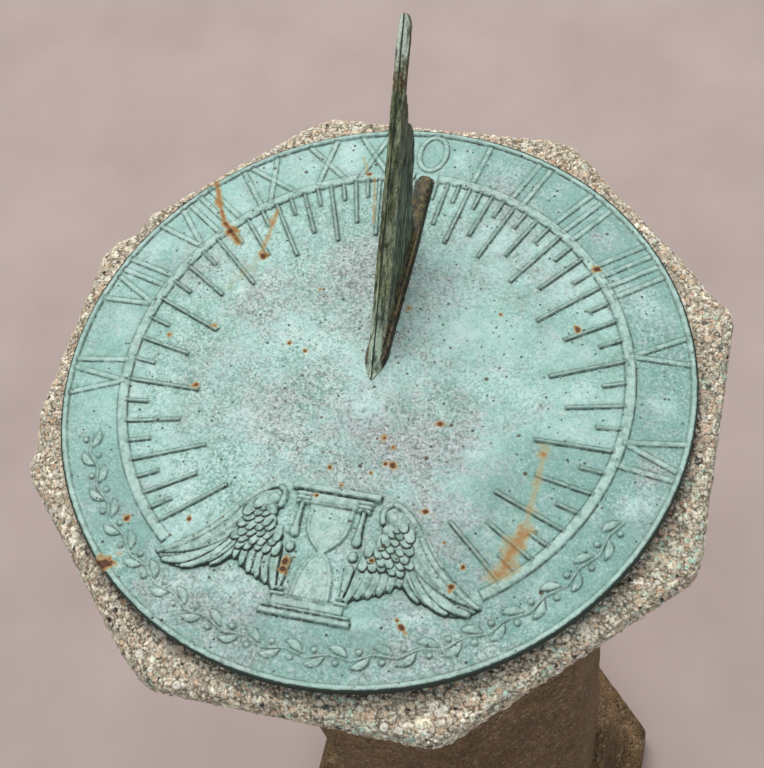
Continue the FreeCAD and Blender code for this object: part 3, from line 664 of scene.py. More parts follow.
def gnomon_casting():
    """The gnomon, roughened. Its own directions, in millimetres: across, east; along, up the style from
    the dial's centre; above, square to the style, with 0 at its ridge."""
    mesh = remeshed_copy("gnomon", 0.38 * MM, 1)
    points, normals = read_points(mesh)
    local = (points - np.array(dial_centre)) / MM
    across = local[:, 0]
    slope = math.radians(latitude)
    along = local[:, 1] * math.cos(slope) + local[:, 2] * math.sin(slope)
    above = local[:, 2] * math.cos(slope) - local[:, 1] * math.sin(slope)
    faces_up = normals[:, 2] * math.cos(slope) - normals[:, 1] * math.sin(slope)
    roof = smooth(0.35, 0.65, faces_up) * smooth(-3.4, -2.6, above)
    foot = smooth(5.2, 4.6, local[:, 2]) * (1 - roof)
    foot_top = foot * smooth(0.6, 0.85, normals[:, 2])
    side = (1 - roof) * (1 - foot)
    # long ripples along the style, pits in the web, a rotten seam below the roof, nicks along its edges
    ripple = lattice_noise(np.c_[across * 0.5, along * 0.09, above], 1.3, 71)
    pits = np.minimum(layered_noise(np.c_[across, along * 0.45, above], 2.2, 3, 61) + 0.15, 0)
    rough = 0.08 * layered_noise(local, 6.0, 2, 63) + 0.05 * lattice_noise(local, 0.9, 67)
    seam = np.exp(-((above + 6.6) / 0.7) ** 2) * side * smooth(108, 60, along)
    holes = smooth(0.1, 0.6, layered_noise(np.c_[across * 0.3, along * 0.8, above * 0.8], 1.5, 2, 89))
    shift = rough - 0.12 + ripple * (0.12 * side + 0.03 * roof)
    shift += pits * (0.3 * side + 0.06 * roof + 0.2 * foot)
    shift -= 0.5 * seam * holes
    shift = np.where(local[:, 2] < 0.6, np.minimum(shift, 0), shift)
    line = np.c_[np.zeros(len(along)), along, np.zeros(len(along))]
    nick = smooth(0.35, 0.75, layered_noise(line, 3.0, 2, 83))
    edge = smooth(1.5, 0.2, np.abs(np.abs(across) - 3.0))
    edge *= smooth(-4.2, -2.6, above) * smooth(-1.0, -2.0, above)
    shift -= 0.28 * nick * edge
    write_points(mesh, points + normals * shift[:, None] * MM)
    eaves = np.exp(-((np.abs(across) - 3.1) / 0.5) ** 2)
    for name, values in (("west_roof", roof * smooth(0.3, -0.3, across)),
                         ("east_roof", roof * smooth(-0.3, 0.3, across)),
                         ("ridge", smooth(0.62, 0.3, np.abs(across)) * smooth(-1.0, -0.5, above)),
                         ("seam", seam * (0.35 + 0.65 * holes)),
                         ("pitted", side * smooth(118, 80, along) * smooth(-16, -10, above)),
                         ("eaves", eaves * smooth(-3.6, -2.4, above) * smooth(-0.9, -1.6, above)),
                         ("lip", foot * smooth(0.9, 0.4, normals[:, 2]) * smooth(2.6, 3.8, local[:, 2])),
                         ("foot_top", foot_top), ("foot_side", foot - foot_top),
                         ("pit", np.clip(-pits * 2.2, 0, 1)), ("along", along / style_length)):
        set_float(mesh, name, values)
    mesh.attributes.new("grain_co", "FLOAT_VECTOR", "POINT").data.foreach_set(
        "vector", (np.c_[across, along * 0.14, above] * MM).astype(np.float32).ravel())
    return make_object("gnomon_casting", mesh, "dial", "gnomon_bronze", "gnomon")


def stone_form(name, node, voxel, smoothing, lumps):
    """A weathered stone: the CAD solid with softened arrises and an uneven face, never outside it."""
    mesh = remeshed_copy(node, voxel, smoothing)
    points, normals = read_points(mesh)
    depth = np.zeros(len(points))
    for size, amount, seed in lumps:
        depth += amount * (layered_noise(points / MM, size, 2, seed) / 1.5 - 1) / 2
    hold = smooth(0.0, 3 * MM, points[:, 2])
    write_points(mesh, points + normals * (depth * hold)[:, None] * MM)
    return make_object(name, mesh, "pedestal", "pedestal_stone", node)


def hashed(cell, seed, count):
    """'count' random numbers from 0 to 1 for each whole-number cell (n, 3)."""
    mixed = mixed_key(cell, seed * 668265263)
    numbers = []
    for _ in range(count):
        mixed = ((mixed ^ (mixed >> 15)) * 2246822519) & 0xFFFFFFFF
        mixed = ((mixed ^ (mixed >> 13)) * 3266489917) & 0xFFFFFFFF
        mixed = mixed ^ (mixed >> 16)
        numbers.append((mixed & 0xFFFFFF) / 16777216.0)
    return numbers


def aggregate(points, cell, chance, radii, seed):
    """Stones scattered through space and cut by the surface: for each point, how high the stone there
    stands (0 at its edge, up to 1), and two random numbers that belong to the stone."""
    base = np.floor(points / cell).astype(np.int64)
    best, tone, kind = (np.zeros(len(points)) for _ in range(3))
    for step in np.ndindex(3, 3, 3):
        corner = base + step - 1
        jx, jy, jz, pick, spread, hue, sort, stretch = hashed(corner, seed, 8)
        centre = (corner + np.c_[jx, jy, jz]) * cell
        radius = radii[0] + (radii[1] - radii[0]) * spread ** 1.5
        away = points - centre
        # each stone is a little longer than wide, and turned at random
        turn, oval = 2 * np.pi * hue, 0.16 * stretch
        u = away[:, 0] * np.cos(turn) + away[:, 1] * np.sin(turn)
        v = away[:, 1] * np.cos(turn) - away[:, 0] * np.sin(turn)
        gap = np.sqrt((u * (1 - oval)) ** 2 + (v * (1 + oval)) ** 2 + away[:, 2] ** 2)
        rise = np.where(pick < chance, 1 - (gap / radius) ** 2, -1)
        wins = rise > best
        best, tone, kind = (np.where(wins, new, old)
                            for new, old in ((rise, best), (hue, tone), (sort, kind)))
    return best, tone, kind


def octagon_radius(angle, apothem, corner):
    """Distance from the middle to an octagon's outline, its corners rounded to radius 'corner'."""
    turn = math.radians(45)
    from_flat = np.abs((angle + turn / 2) % turn - turn / 2)
    straight = apothem / np.cos(from_flat)
    middle = (apothem - corner) / math.cos(turn / 2)
    from_corner = turn / 2 - from_flat
    bend = corner ** 2 - (middle * np.sin(from_corner)) ** 2
    rounded = middle * np.cos(from_corner) + np.sqrt(np.maximum(bend, 0))
    tangent = math.atan((apothem - corner) * math.tan(turn / 2) / apothem)
    return np.where(from_flat < tangent, straight, rounded)


def cap_rows():
    """The cap's outline from the middle of its top, out, down and back in, as (shape, reach, z, extra);
    extra is an octagon's corner radius, or how far a blend has gone from round to octagon, in quarters."""
    top, bottom, flats = cap_high.z / MM, cap_low.z / MM, (cap_high.x - cap_low.x) / 2 / MM
    edge_radius, corner, lower_apothem = 6.0, 16.0, 118.0
    rows = [("round", r, top, 0) for r in (60.0, 100.0, 128.0)]
    rows += [("blend", 138.0 + 0.56 * k, top, 0.25 * k) for k in range(17)]
    inner = flats - edge_radius
    rows += [("octagon", apothem, top, corner - 6.0) for apothem in np.arange(147.5, inner, 0.6)]
    rows += [("octagon", inner + edge_radius * math.sin(a), top - edge_radius + edge_radius * math.cos(a),
              corner - 6.0 * math.cos(a)) for a in np.linspace(0.05, math.pi / 2, 14)]
    rows += [("octagon", flats, top - edge_radius - d, corner) for d in (0.8, 1.6, 2.4, 3.2)]
    rows += [("octagon", flats - 0.8, top - edge_radius - 4.3, corner)]
    drop = top - edge_radius - 5.0 - bottom
    rows += [("octagon", flats - 1.6 - (flats - 1.6 - lower_apothem) * t, top - edge_radius - 5.0 - drop * t,
              corner * (1 - 0.28 * t)) for t in np.linspace(0.02, 1, 60)]
    rows += [("round", r, bottom, 0) for r in (100.0, 60.0, 32.0)]
    return rows + [("round", r, z, 0) for r, z in ((32.0, bottom + 28.0), (17.0, bottom + 28.0),
                                                   (17.0, top - 10.0), (28.0, top - 10.0), (28.0, top))]


def chips(local):
    """How far broken corners and edges draw each point in."""
    shift = np.zeros((len(local), 3))
    height = local[:, 2] - cap_high.z / MM
    # centre, with its height from the cap's top, then size and depth
    for cx, cy, cz, size, bite in ((-161, -61, 0, 22, 6.0), (-154, 70, 0, 20, 6.5), (-148, -80, 2, 12, 2.4),
                                   (152, 82, 2, 14, 1.8), (66, 162, 2, 12, 1.6), (160, -66, -4, 12, 1.6),
                                   (-70, -160, -4, 15, 2.2), (98, 134, 2, 16, 1.4), (-68, 160, 2, 11, 1.5)):
        gap = np.sqrt((local[:, 0] - cx) ** 2 + (local[:, 1] - cy) ** 2 + (height - cz) ** 2)
        out = np.array([cx, cy, 0.0]) / math.hypot(cx, cy)
        shift -= (bite * smooth(size, 0, gap))[:, None] * (0.8 * out + (0, 0, 0.6))
    return shift


def cap_stone():
    """The octagonal cap as one closed surface, finely divided where it shows, its aggregate modelled."""
    rows = cap_rows()
    spokes = 1680
    angle = np.linspace(0, 2 * np.pi, spokes, endpoint=False)
    layers = []
    for shape, reach, z, extra in rows:
        if shape == "octagon":
            radius = octagon_radius(angle, reach, max(extra, 2.0))
        elif shape == "blend":
            share = extra / 4.0
            radius = (1 - share) * reach + share * octagon_radius(angle, min(reach, 147.0), 9.0)
        else:
            radius = np.full(spokes, reach)
        layers.append(np.c_[radius * np.cos(angle), radius * np.sin(angle), np.full(spokes, z)])
    ring = np.arange(len(rows))[:, None] * spokes
    next_ring = np.roll(ring, -1, axis=0)
    here, after = np.arange(spokes), (np.arange(spokes) + 1) % spokes
    faces = np.stack([ring + here, next_ring + here, next_ring + after, ring + after], -1).reshape(-1, 4)
    mesh = bpy.data.meshes.new("cap_stone")
    mesh.from_pydata((np.concatenate(layers) * MM).tolist(), [], faces.tolist())
    mesh.update()
    shade_smooth(mesh)
    points, normals = read_points(mesh)
    local = points / MM
    bottom = cap_low.z / MM
    reach = np.hypot(local[:, 0], local[:, 1])
    shown = smooth(136, 142, reach) * smooth(bottom - 1, bottom + 3, local[:, 2])
    colour, lift, wash = aggregate_look(local, normals)
    wander = 0.6 * (layered_noise(local, 30.0, 2, 5) / 1.5 - 1) + 0.35 * (lattice_noise(local, 9.0, 6) - 1)
    shift = normals * (lift - 1.05 + 0.5 * wander)[:, None] + chips(local)
    write_points(mesh, points + shift * shown[:, None] * MM)
    set_colour(mesh, "aggregate", colour)
    set_float(mesh, "wash", wash)
    return make_object("cap_stone", mesh, "pedestal", "cap_stone", "pedestal_cap")


def aggregate_look(local, normals):
    """Colour, height in millimetres and copper wash of the cap's exposed aggregate at each point."""
    def tints(*colours):
        return np.array([srgb(*c)[:3] for c in colours])

    sand = tints((150, 136, 114), (184, 172, 150), (122, 108, 88), (206, 198, 178))
    warm = tints((236, 228, 206), (226, 216, 194), (242, 238, 224), (216, 200, 176), (232, 214, 192),
                 (214, 188, 164), (200, 194, 176), (220, 226, 208), (190, 166, 142), (240, 232, 216))
    black, green = tints((26, 24, 26), (172, 210, 192))
    near_top = smooth(-12, -5, local[:, 2] - cap_high.z / MM)
    grain = lattice_noise(local, 0.9, 31)
    colour = sand[np.clip((grain * 0.9 + 1) * 2, 0, 3.99).astype(int)]
    lift = 0.12 * grain
    # pale stones, the small ones first: spacing, chance, radii, height and noise seed
    for cell, chance, radii, height, seed in ((1.6, 0.8, (0.5, 1.0), 0.5, 91),
                                              (2.8, 0.8, (0.9, 1.7), 0.8, 92),
                                              (5.2, 0.45, (1.5, 2.6), 1.0, 93),
                                              (14.0, 0.16, (3.0, 4.8), 1.25, 94)):
        rise, tone, kind = aggregate(local, cell, chance, radii, seed)
        dome = height * np.sqrt(np.clip(rise, 0, 1))
        over = dome > lift + 0.08
        stone = warm[(kind * len(warm)).astype(int) % len(warm)]
        shade = (0.6 + 0.4 * smooth(0.0, 0.3, rise))[:, None] * (1.08 + 0.3 * tone)[:, None]
        colour = np.where(over[:, None], stone * shade, colour)
        lift = np.where(over, dome, lift)
    # black chips
    for cell, chance, radii, seed in ((5.0, 0.24, (0.8, 1.3), 95), (7.5, 0.34, (1.1, 1.9), 96)):
        rise, tone, _ = aggregate(local, cell, chance, radii, seed)
        over = rise > 0.05
        colour = np.where(over[:, None], black * (0.6 + 0.9 * tone)[:, None], colour)
        lift = np.where(over, np.maximum(lift, 0.55), lift)
    # painted shade: the low gaps between stones are darkened, and so is the top just under the plate's edge,
    # as its shadow
    dark = 1.06 - 0.66 * smooth(0.14, -0.12, lift)
    reach = np.hypot(local[:, 0], local[:, 1])
    dark *= 1 - 0.8 * smooth(dial_radius + 1.5, dial_radius + 0.5, reach) * near_top
    colour = colour * dark[:, None]
    # copper washed off the dial, on the south and east sides; painted shade on faces turned down under the
    # cap's edge, and blotchy stains
    direction = np.degrees(np.arctan2(local[:, 0], local[:, 1]))
    wash = smooth(35, 90, direction) + 0.8 * smooth(-150, -175, direction)
    wash = np.clip(wash, 0, 1) * smooth(-0.1, 0.6, layered_noise(local, 9.0, 3, 97)) * near_top
    coat = 0.3 * wash[:, None]
    colour = colour * (1 - coat) + green * coat * (0.4 + 0.6 * smooth(-0.1, 0.6, lift))[:, None]
    under = smooth(-0.1, -0.6, normals[:, 2])
    underside_shade_and_stains = 0.4 * under + 0.14 * smooth(0.0, 0.8, layered_noise(local, 16.0, 3, 98))
    return colour * (1 - np.clip(underside_shade_and_stains, 0, 0.75))[:, None], lift, wash


# ---------------------------------------------------------------- materials
def srgb(red, green, blue):
    """A colour given as 0 to 255 display values, as the shader's linear colour."""
    def linear(value):
        value = value / 255
        return value / 12.92 if value <= 0.04045 else ((value + 0.055) / 1.055) ** 2.4
    return linear(red), linear(green), linear(blue), 1.0


class Paint:
    """Short ways to build one material's nodes. Shades are given as red, green and blue display values,
    and 'colour' is what the coats so far have made."""

    def __init__(self, name):
        self.material = bpy.data.materials.new(name)
        self.material.use_nodes = True
        self.tree = self.material.node_tree
        self.shader = self.tree.nodes["Principled BSDF"]
        self.place = self.node("ShaderNodeTexCoord").outputs["Object"]
        self.colour = None

    def node(self, kind, **inputs):
        made = self.tree.nodes.new(kind)
        for key, value in inputs.items():
            self.feed(made.inputs[key.replace("_", " ")], value)
        return made

    def feed(self, socket, value):
        if isinstance(value, bpy.types.NodeSocket):
            self.tree.links.new(value, socket)
        else:
            socket.default_value = value

    def attribute(self, name, output="Fac"):
        made = self.tree.nodes.new("ShaderNodeAttribute")
        made.attribute_name = name
        return made.outputs[output]

    def noise(self, scale, detail=4.0, roughness=0.55, place=None):
        made = self.node("ShaderNodeTexNoise", Vector=place or self.place, Scale=scale, Detail=detail,
                         Roughness=roughness)
        return made.outputs["Fac"]

    def cells(self, scale):
        return self.node("ShaderNodeTexVoronoi", Vector=self.place, Scale=scale)

    def math(self, operation, a, b=0.0, clamp=False):
        made = self.tree.nodes.new("ShaderNodeMath")
        made.operation = operation
        made.use_clamp = clamp
        self.feed(made.inputs[0], a)
        self.feed(made.inputs[1], b)
        return made.outputs[0]

    def product(self, total, *factors):
        for factor in factors:
            total = self.math("MULTIPLY", total, factor)
        return total

    def weighted(self, *terms):
        """The sum of (value, weight) terms."""
        total = self.product(*terms[0])
        for term in terms[1:]:
            total = self.math("ADD", total, self.product(*term))
        return total

    def span(self, value, low, high, to_low=0.0, to_high=1.0):
        made = self.node("ShaderNodeMapRange", Value=value)
        made.interpolation_type = "SMOOTHSTEP"
        for key, amount in (("From Min", low), ("From Max", high), ("To Min", to_low), ("To Max", to_high)):
            made.inputs[key].default_value = amount
        return made.outputs["Result"]

    def mix(self, factor, a, b, blend="MIX"):
        made = self.tree.nodes.new("ShaderNodeMix")
        made.data_type = "RGBA"
        made.blend_type = blend
        self.feed(made.inputs["Factor"], factor)
        for socket, shade in ((made.inputs[6], a), (made.inputs[7], b)):
            self.feed(socket, srgb(*shade) if isinstance(shade, tuple) else shade)
        return made.outputs[2]

    def coat(self, shade, *factors, blend="MIX"):
        """Lay a shade over the colour, as strongly as the product of the factors."""
        self.colour = self.mix(self.product(*factors), self.colour, shade, blend)

    def flecks(self, value, dark, light, amount, spread=0.09):
        """Dark flecks where a noise runs low and light ones where it runs high."""
        low = self.span(value, 0.5 - spread * 0.2, 0.5 - spread)
        high = self.span(value, 0.5 + spread * 0.2, 0.5 + spread)
        self.coat(dark, low, amount)
        self.coat(light, high, amount)

    def grains(self, shade, scale, chance, reach, *factors):
        """Grains of one shade, one in each cell of a Voronoi pattern whose random number passes 'chance'."""
        cells = self.cells(scale)
        picked = self.span(cells.outputs["Color"], chance, chance + 0.02)
        grain = self.product(picked, self.span(cells.outputs["Distance"], reach, reach * 0.7))
        self.coat(shade, grain, *factors)
        return grain

    def ramp(self, value, *stops, steps=False):
        made = self.node("ShaderNodeValToRGB", Fac=value)
        made.color_ramp.interpolation = "CONSTANT" if steps else "LINEAR"
        elements = made.color_ramp.elements
        for k, (position, shade) in enumerate(stops):
            element = elements[k] if k < 2 else elements.new(position)
            element.position = position
            element.color = srgb(*shade)
        return made.outputs["Color"]

    def stretch(self, x, y, z):
        made = self.node("ShaderNodeMapping", Vector=self.place)
        made.inputs["Scale"].default_value = (x, y, z)
        return made.outputs["Vector"]

    def finish(self, roughness, rise, depth, strength, metallic=0.0, specular=0.5):
        """Connect the shader; 'rise' is the bump's height and 'depth' its size in metres."""
        bump = self.node("ShaderNodeBump", Height=rise)
        bump.inputs["Strength"].default_value = strength
        bump.inputs["Distance"].default_value = depth
        self.feed(self.shader.inputs["Base Color"], self.colour)
        self.feed(self.shader.inputs["Roughness"], roughness)
        self.tree.links.new(bump.outputs["Normal"], self.shader.inputs["Normal"])
        self.shader.inputs["Metallic"].default_value = metallic
        self.shader.inputs["Specular IOR Level"].default_value = specular
        return self.material


def verdigris():
    """Old bronze under a chalky blue-green patina: greyer where it has worn, pitted, dark in the
    crevices with dirt and painted shade, pale on its crests with wear and a painted highlight, browner
    on the tops of the hour marks and spotted with rust."""
    p = Paint("verdigris")
    large, medium = p.noise(18, 4, 0.6), p.noise(85, 5, 0.65)
    small, fine = p.noise(430, 6, 0.75), p.noise(800, 4, 0.75)
    p.colour = p.ramp(large, (0.36, (144, 186, 176)), (0.5, (163, 205, 197)), (0.64, (175, 212, 205)))
    p.coat((192, 219, 213), p.span(medium, 0.48, 0.66, 0, 0.5))
    p.coat((138, 180, 164), p.span(medium, 0.5, 0.34, 0, 0.5))
    tone = p.attribute("tone")
    p.coat((118, 163, 155), p.span(tone, -0.02, -0.6, 0, 0.85))
    p.coat((188, 224, 214), p.span(tone, 0.1, 1.0, 0, 0.75))
    # worn lilac grey, broken up finely
    wear = p.weighted((p.attribute("mottle"), 0.24), (p.noise(45, 6, 0.8), 0.8),
                      (p.noise(300, 5, 0.75), 0.35))
    grey = p.ramp(p.noise(500, 5, 0.75), (0.38, (104, 110, 102)), (0.47, (146, 148, 146)),
                  (0.54, (174, 172, 178)), (0.63, (206, 206, 210)))
    p.coat(grey, p.span(wear, 0.58, 0.90))
    # mottling everywhere, from ragged patches to fine grain: pale crust and darker hollows
    coarse = p.attribute("coarse")
    clusters = p.product(coarse, p.span(p.noise(60, 5, 0.75), 0.38, 0.58, 0.25, 1.0))
    p.flecks(p.noise(38, 9, 0.85), (112, 156, 144), (206, 226, 222),
             p.span(coarse, 0.1, 1.0, 0.35, 0.65), 0.11)
    p.flecks(small, (108, 148, 136), (200, 224, 217), p.product(coarse, 0.35))
    p.flecks(fine, (96, 124, 112), (206, 228, 221), p.span(clusters, 0.0, 0.9, 0.2, 0.62))
    for shade, scale, chance, reach in (((96, 112, 98), 340, 0.66, 0.24), ((100, 120, 106), 560, 0.60, 0.30)):
        p.grains(shade, scale, chance, reach, 0.65, p.span(clusters, 0.1, 0.9, 0.1, 0.9))
    # thin edges of flaking patina
    flake = p.math("ABSOLUTE", p.math("SUBTRACT", p.noise(120, 5, 0.6), 0.56))
    flaking = p.span(wear, 0.62, 0.80)
    p.coat((212, 226, 220), flaking, p.span(flake, 0.016, 0.004, 0, 0.75))
    p.coat((88, 98, 92), flaking, p.span(flake, 0.006, 0.002, 0, 0.85))
    p.coat((74, 82, 74), p.span(fine, 0.47, 0.38, 0, 0.6), p.span(wear, 0.6, 0.9))
    # the broad painted shade and dirt round the relief, its crests pale with wear and a painted highlight,
    # the marks' tops, and the dirt and painted shade at its foot
    p.coat((108, 140, 126), p.attribute("halo"), p.span(p.noise(160, 4, 0.7), 0.36, 0.60, 0.05, 0.65))
    p.coat((190, 216, 206), p.attribute("proud"), p.span(p.noise(260, 5, 0.7), 0.40, 0.60, 0.1, 0.6))
    p.coat((94, 104, 86), p.attribute("mark"), p.span(p.noise(300, 5, 0.75), 0.40, 0.58, 1.0, 0.12), 0.35)
    crevice = p.attribute("crevice")
    dirt_and_shade = p.math("MULTIPLY", crevice, p.span(p.noise(300, 4, 0.7), 0.38, 0.54, 0.3, 1.0), True)
    # crevice values above 1 are the painted shade on the plate's edge, dark at full strength
    p.coat((34, 44, 36), p.math("MAXIMUM", dirt_and_shade, p.span(crevice, 1.0, 1.15)), 0.95)
    # pits and specks of several sizes
    hollow = 0.0
    for shade, scale, chance, reach in (((78, 60, 34), 110, 0.80, 0.13), ((98, 86, 50), 170, 0.77, 0.14),
                                        ((46, 48, 38), 260, 0.80, 0.20), ((66, 74, 64), 430, 0.80, 0.26)):
        hollow = p.math("ADD", p.grains(shade, scale, chance, reach, 0.85), hollow)
    # rust: a yellowish stain with a darker heart
    ragged = p.product(p.math("SUBTRACT", p.noise(300, 5, 0.8), 0.5), 0.9)
    rusty = p.math("ADD", p.attribute("rust"), ragged, True)
    p.coat((168, 160, 120), p.span(rusty, 0.10, 0.42, 0, 0.7))
    p.coat((164, 116, 62), p.span(rusty, 0.36, 0.66, 0, 0.85))
    p.coat((78, 46, 26), p.span(rusty, 0.68, 0.98, 0, 0.95))
    rise = p.weighted((small, 0.6), (fine, 0.35), (hollow, -0.5))
    return p.finish(p.span(medium, 0.3, 0.7, 0.55, 0.78), rise, 0.0007, 0.8, specular=0.3)


def dark_patina():
    """The gnomon: streaked grey-green on its roof, near black and pitted along the web, paler green at
    both ends, ochre and rust on its foot."""
    p = Paint("dark_patina")
    long_place = p.attribute("grain_co", "Vector")
    streaks, scratches = p.noise(330, 6, 0.7, long_place), p.noise(1100, 5, 0.7, long_place)
    blotches, fine = p.noise(75, 5, 0.65), p.noise(800, 5, 0.7)
    along, west_roof, east_roof = (p.attribute(name) for name in ("along", "west_roof", "east_roof"))
    roofs = p.math("ADD", west_roof, east_roof)
    # web, with a crusted and pitted strip near the toe
    p.colour = p.ramp(streaks, (0.41, (12, 14, 10)), (0.48, (50, 56, 42)), (0.55, (90, 96, 74)),
                      (0.62, (142, 148, 122)))
    p.coat((84, 76, 54), p.span(blotches, 0.52, 0.68, 0, 0.5))
    p.coat((20, 20, 14), p.span(fine, 0.48, 0.40, 0, 0.8))
    rotten = p.ramp(p.noise(620, 5, 0.8), (0.43, (8, 9, 7)), (0.46, (80, 78, 60)), (0.49, (206, 204, 176)),
                    (0.58, (246, 246, 226)))
    p.coat(rotten, p.attribute("pitted"), p.span(blotches, 0.38, 0.52, 0.45, 1.0))
    # the two slopes of the roof: the west one painted lighter and the east one darker, as painted light and
    # shade
    west = p.ramp(streaks, (0.40, (84, 94, 74)), (0.48, (140, 150, 130)), (0.57, (184, 196, 176)))
    p.coat(p.mix(p.span(blotches, 0.56, 0.68, 0, 0.5), west, (146, 150, 134)), west_roof)
    east = p.ramp(streaks, (0.40, (56, 60, 40)), (0.48, (118, 128, 104)), (0.57, (168, 180, 156)))
    p.coat(p.mix(p.span(blotches, 0.58, 0.68, 0, 0.5), east, (106, 92, 54)), east_roof)
    p.coat((74, 98, 58), p.span(p.noise(120, 4, 0.7, long_place), 0.50, 0.60, 0, 0.5), roofs)
    p.coat((84, 80, 46), p.span(along, 0.26, 0.38), p.span(along, 0.62, 0.5), west_roof, 0.75)
    p.coat((196, 220, 196), p.span(along, 0.24, 0.10), roofs, p.span(blotches, 0.4, 0.6, 0.55, 0.9))
    p.coat((226, 236, 220), p.span(along, 0.84, 0.90), roofs, 0.85)
    # a rust and black stain where the free end leaves the web
    stain = p.product(p.span(along, 0.77, 0.81), p.span(along, 0.89, 0.84))
    p.coat((118, 78, 52), stain, p.span(p.noise(150, 4, 0.7), 0.40, 0.52, 0, 0.85))
    p.coat((18, 16, 12), stain, p.span(p.noise(240, 5, 0.7), 0.54, 0.60, 0, 0.9))
    # black streaks and pits, the seam below the roof, and its rubbed eaves
    p.coat((20, 22, 14), p.span(p.noise(190, 6, 0.75, long_place), 0.58, 0.64, 0, 0.8))
    p.coat((18, 18, 12), p.attribute("pit"), 0.8)
    p.coat((8, 9, 7), p.attribute("seam"))
    p.coat((150, 138, 96), p.attribute("eaves"), p.span(p.noise(220, 5, 0.7), 0.44, 0.6), 0.7)
    # the foot
    foot_top, foot_side = p.attribute("foot_top"), p.attribute("foot_side")
    p.coat(p.ramp(p.noise(230, 6, 0.75), (0.42, (20, 16, 10)), (0.49, (56, 48, 26)), (0.55, (92, 80, 42)),
                  (0.63, (126, 112, 70))), foot_top)
    p.coat(p.ramp(p.noise(190, 5, 0.7), (0.4, (16, 12, 8)), (0.52, (48, 28, 16)), (0.66, (86, 54, 32))),
           foot_side)
    p.coat((176, 150, 112), p.attribute("lip"), p.span(p.noise(160, 4, 0.7), 0.40, 0.54), 0.8)
    # fine streaks over all, less on the foot; the middle is darker; the ridge is a dark green line
    p.flecks(scratches, (18, 20, 13), (176, 188, 162),
             p.span(p.math("ADD", foot_top, foot_side), 0.1, 0.9, 0.55, 0.15), 0.1)
    p.coat((20, 22, 14), p.span(fine, 0.46, 0.36, 0, 0.6))
    p.coat((206, 206, 168), p.span(along, 0.12, 0.28), p.span(along, 0.90, 0.80),
           p.span(streaks, 0.44, 0.56, 1.0, 0.55), blend="MULTIPLY")
    p.coat((24, 36, 17), p.attribute("ridge"), p.span(p.noise(140, 4, 0.7), 0.36, 0.5, 0.65, 1.0))
    rise = p.weighted((streaks, 0.8), (fine, 0.5))
    return p.finish(p.span(blotches, 0.3, 0.7, 0.42, 0.66), rise, 0.0008, 0.9, specular=0.4)


def cap_aggregate():
    """The washed stones of the cap: the modelled ones' colours, and smaller stones, chips and grain."""
    p = Paint("cap_aggregate")
    fine, speckle = p.noise(900, 4, 0.75), p.noise(480, 5, 0.75)
    p.colour = p.attribute("aggregate", "Color")
    rise = p.weighted((fine, 0.6), (speckle, 1.0))
    # crisp small stones, each of one shade and ringed by a dark gap of painted shade
    for scale, chance, reach in ((520, 0.40, 0.46), (300, 0.42, 0.46), (190, 0.60, 0.42)):
        stones = p.cells(scale)
        picked = p.span(stones.outputs["Color"], chance, chance + 0.01)
        gap = p.product(picked, p.span(stones.outputs["Distance"], reach * 1.4, reach * 0.95))
        stone = p.product(picked, p.span(stones.outputs["Distance"], reach, reach * 0.8))
        p.coat((92, 78, 62), gap, 0.5)
        p.coat(p.ramp(stones.outputs["Color"], (0.0, (232, 196, 164)), (0.46, (250, 240, 218)),
                      (0.52, (220, 180, 148)), (0.57, (255, 252, 240)), (0.67, (236, 214, 186)),
                      (0.74, (190, 182, 164)), steps=True), stone, 0.72)
        rise = p.weighted((rise, 1.0), (stone, 0.5))
    # drops of copper green, then black chips of three sizes
    p.grains((178, 226, 206), 360, 0.44, 0.44, 0.85, p.attribute("wash"))
    p.grains((18, 16, 18), 105, 0.80, 0.17, 0.96)
    p.grains((20, 18, 20), 160, 0.78, 0.24, 0.96)
    p.grains((30, 27, 25), 330, 0.82, 0.28, 0.9)
    p.coat((92, 78, 60), p.span(fine, 0.46, 0.39, 0, 0.5))
    p.coat((255, 252, 242), p.span(fine, 0.52, 0.60, 0, 0.5))
    p.coat((255, 253, 246), p.span(speckle, 0.3, 0.7, 0.6, 1.0), blend="MULTIPLY")
    return p.finish(p.span(speckle, 0.3, 0.7, 0.62, 0.9), rise, 0.0008, 0.9, specular=0.3)


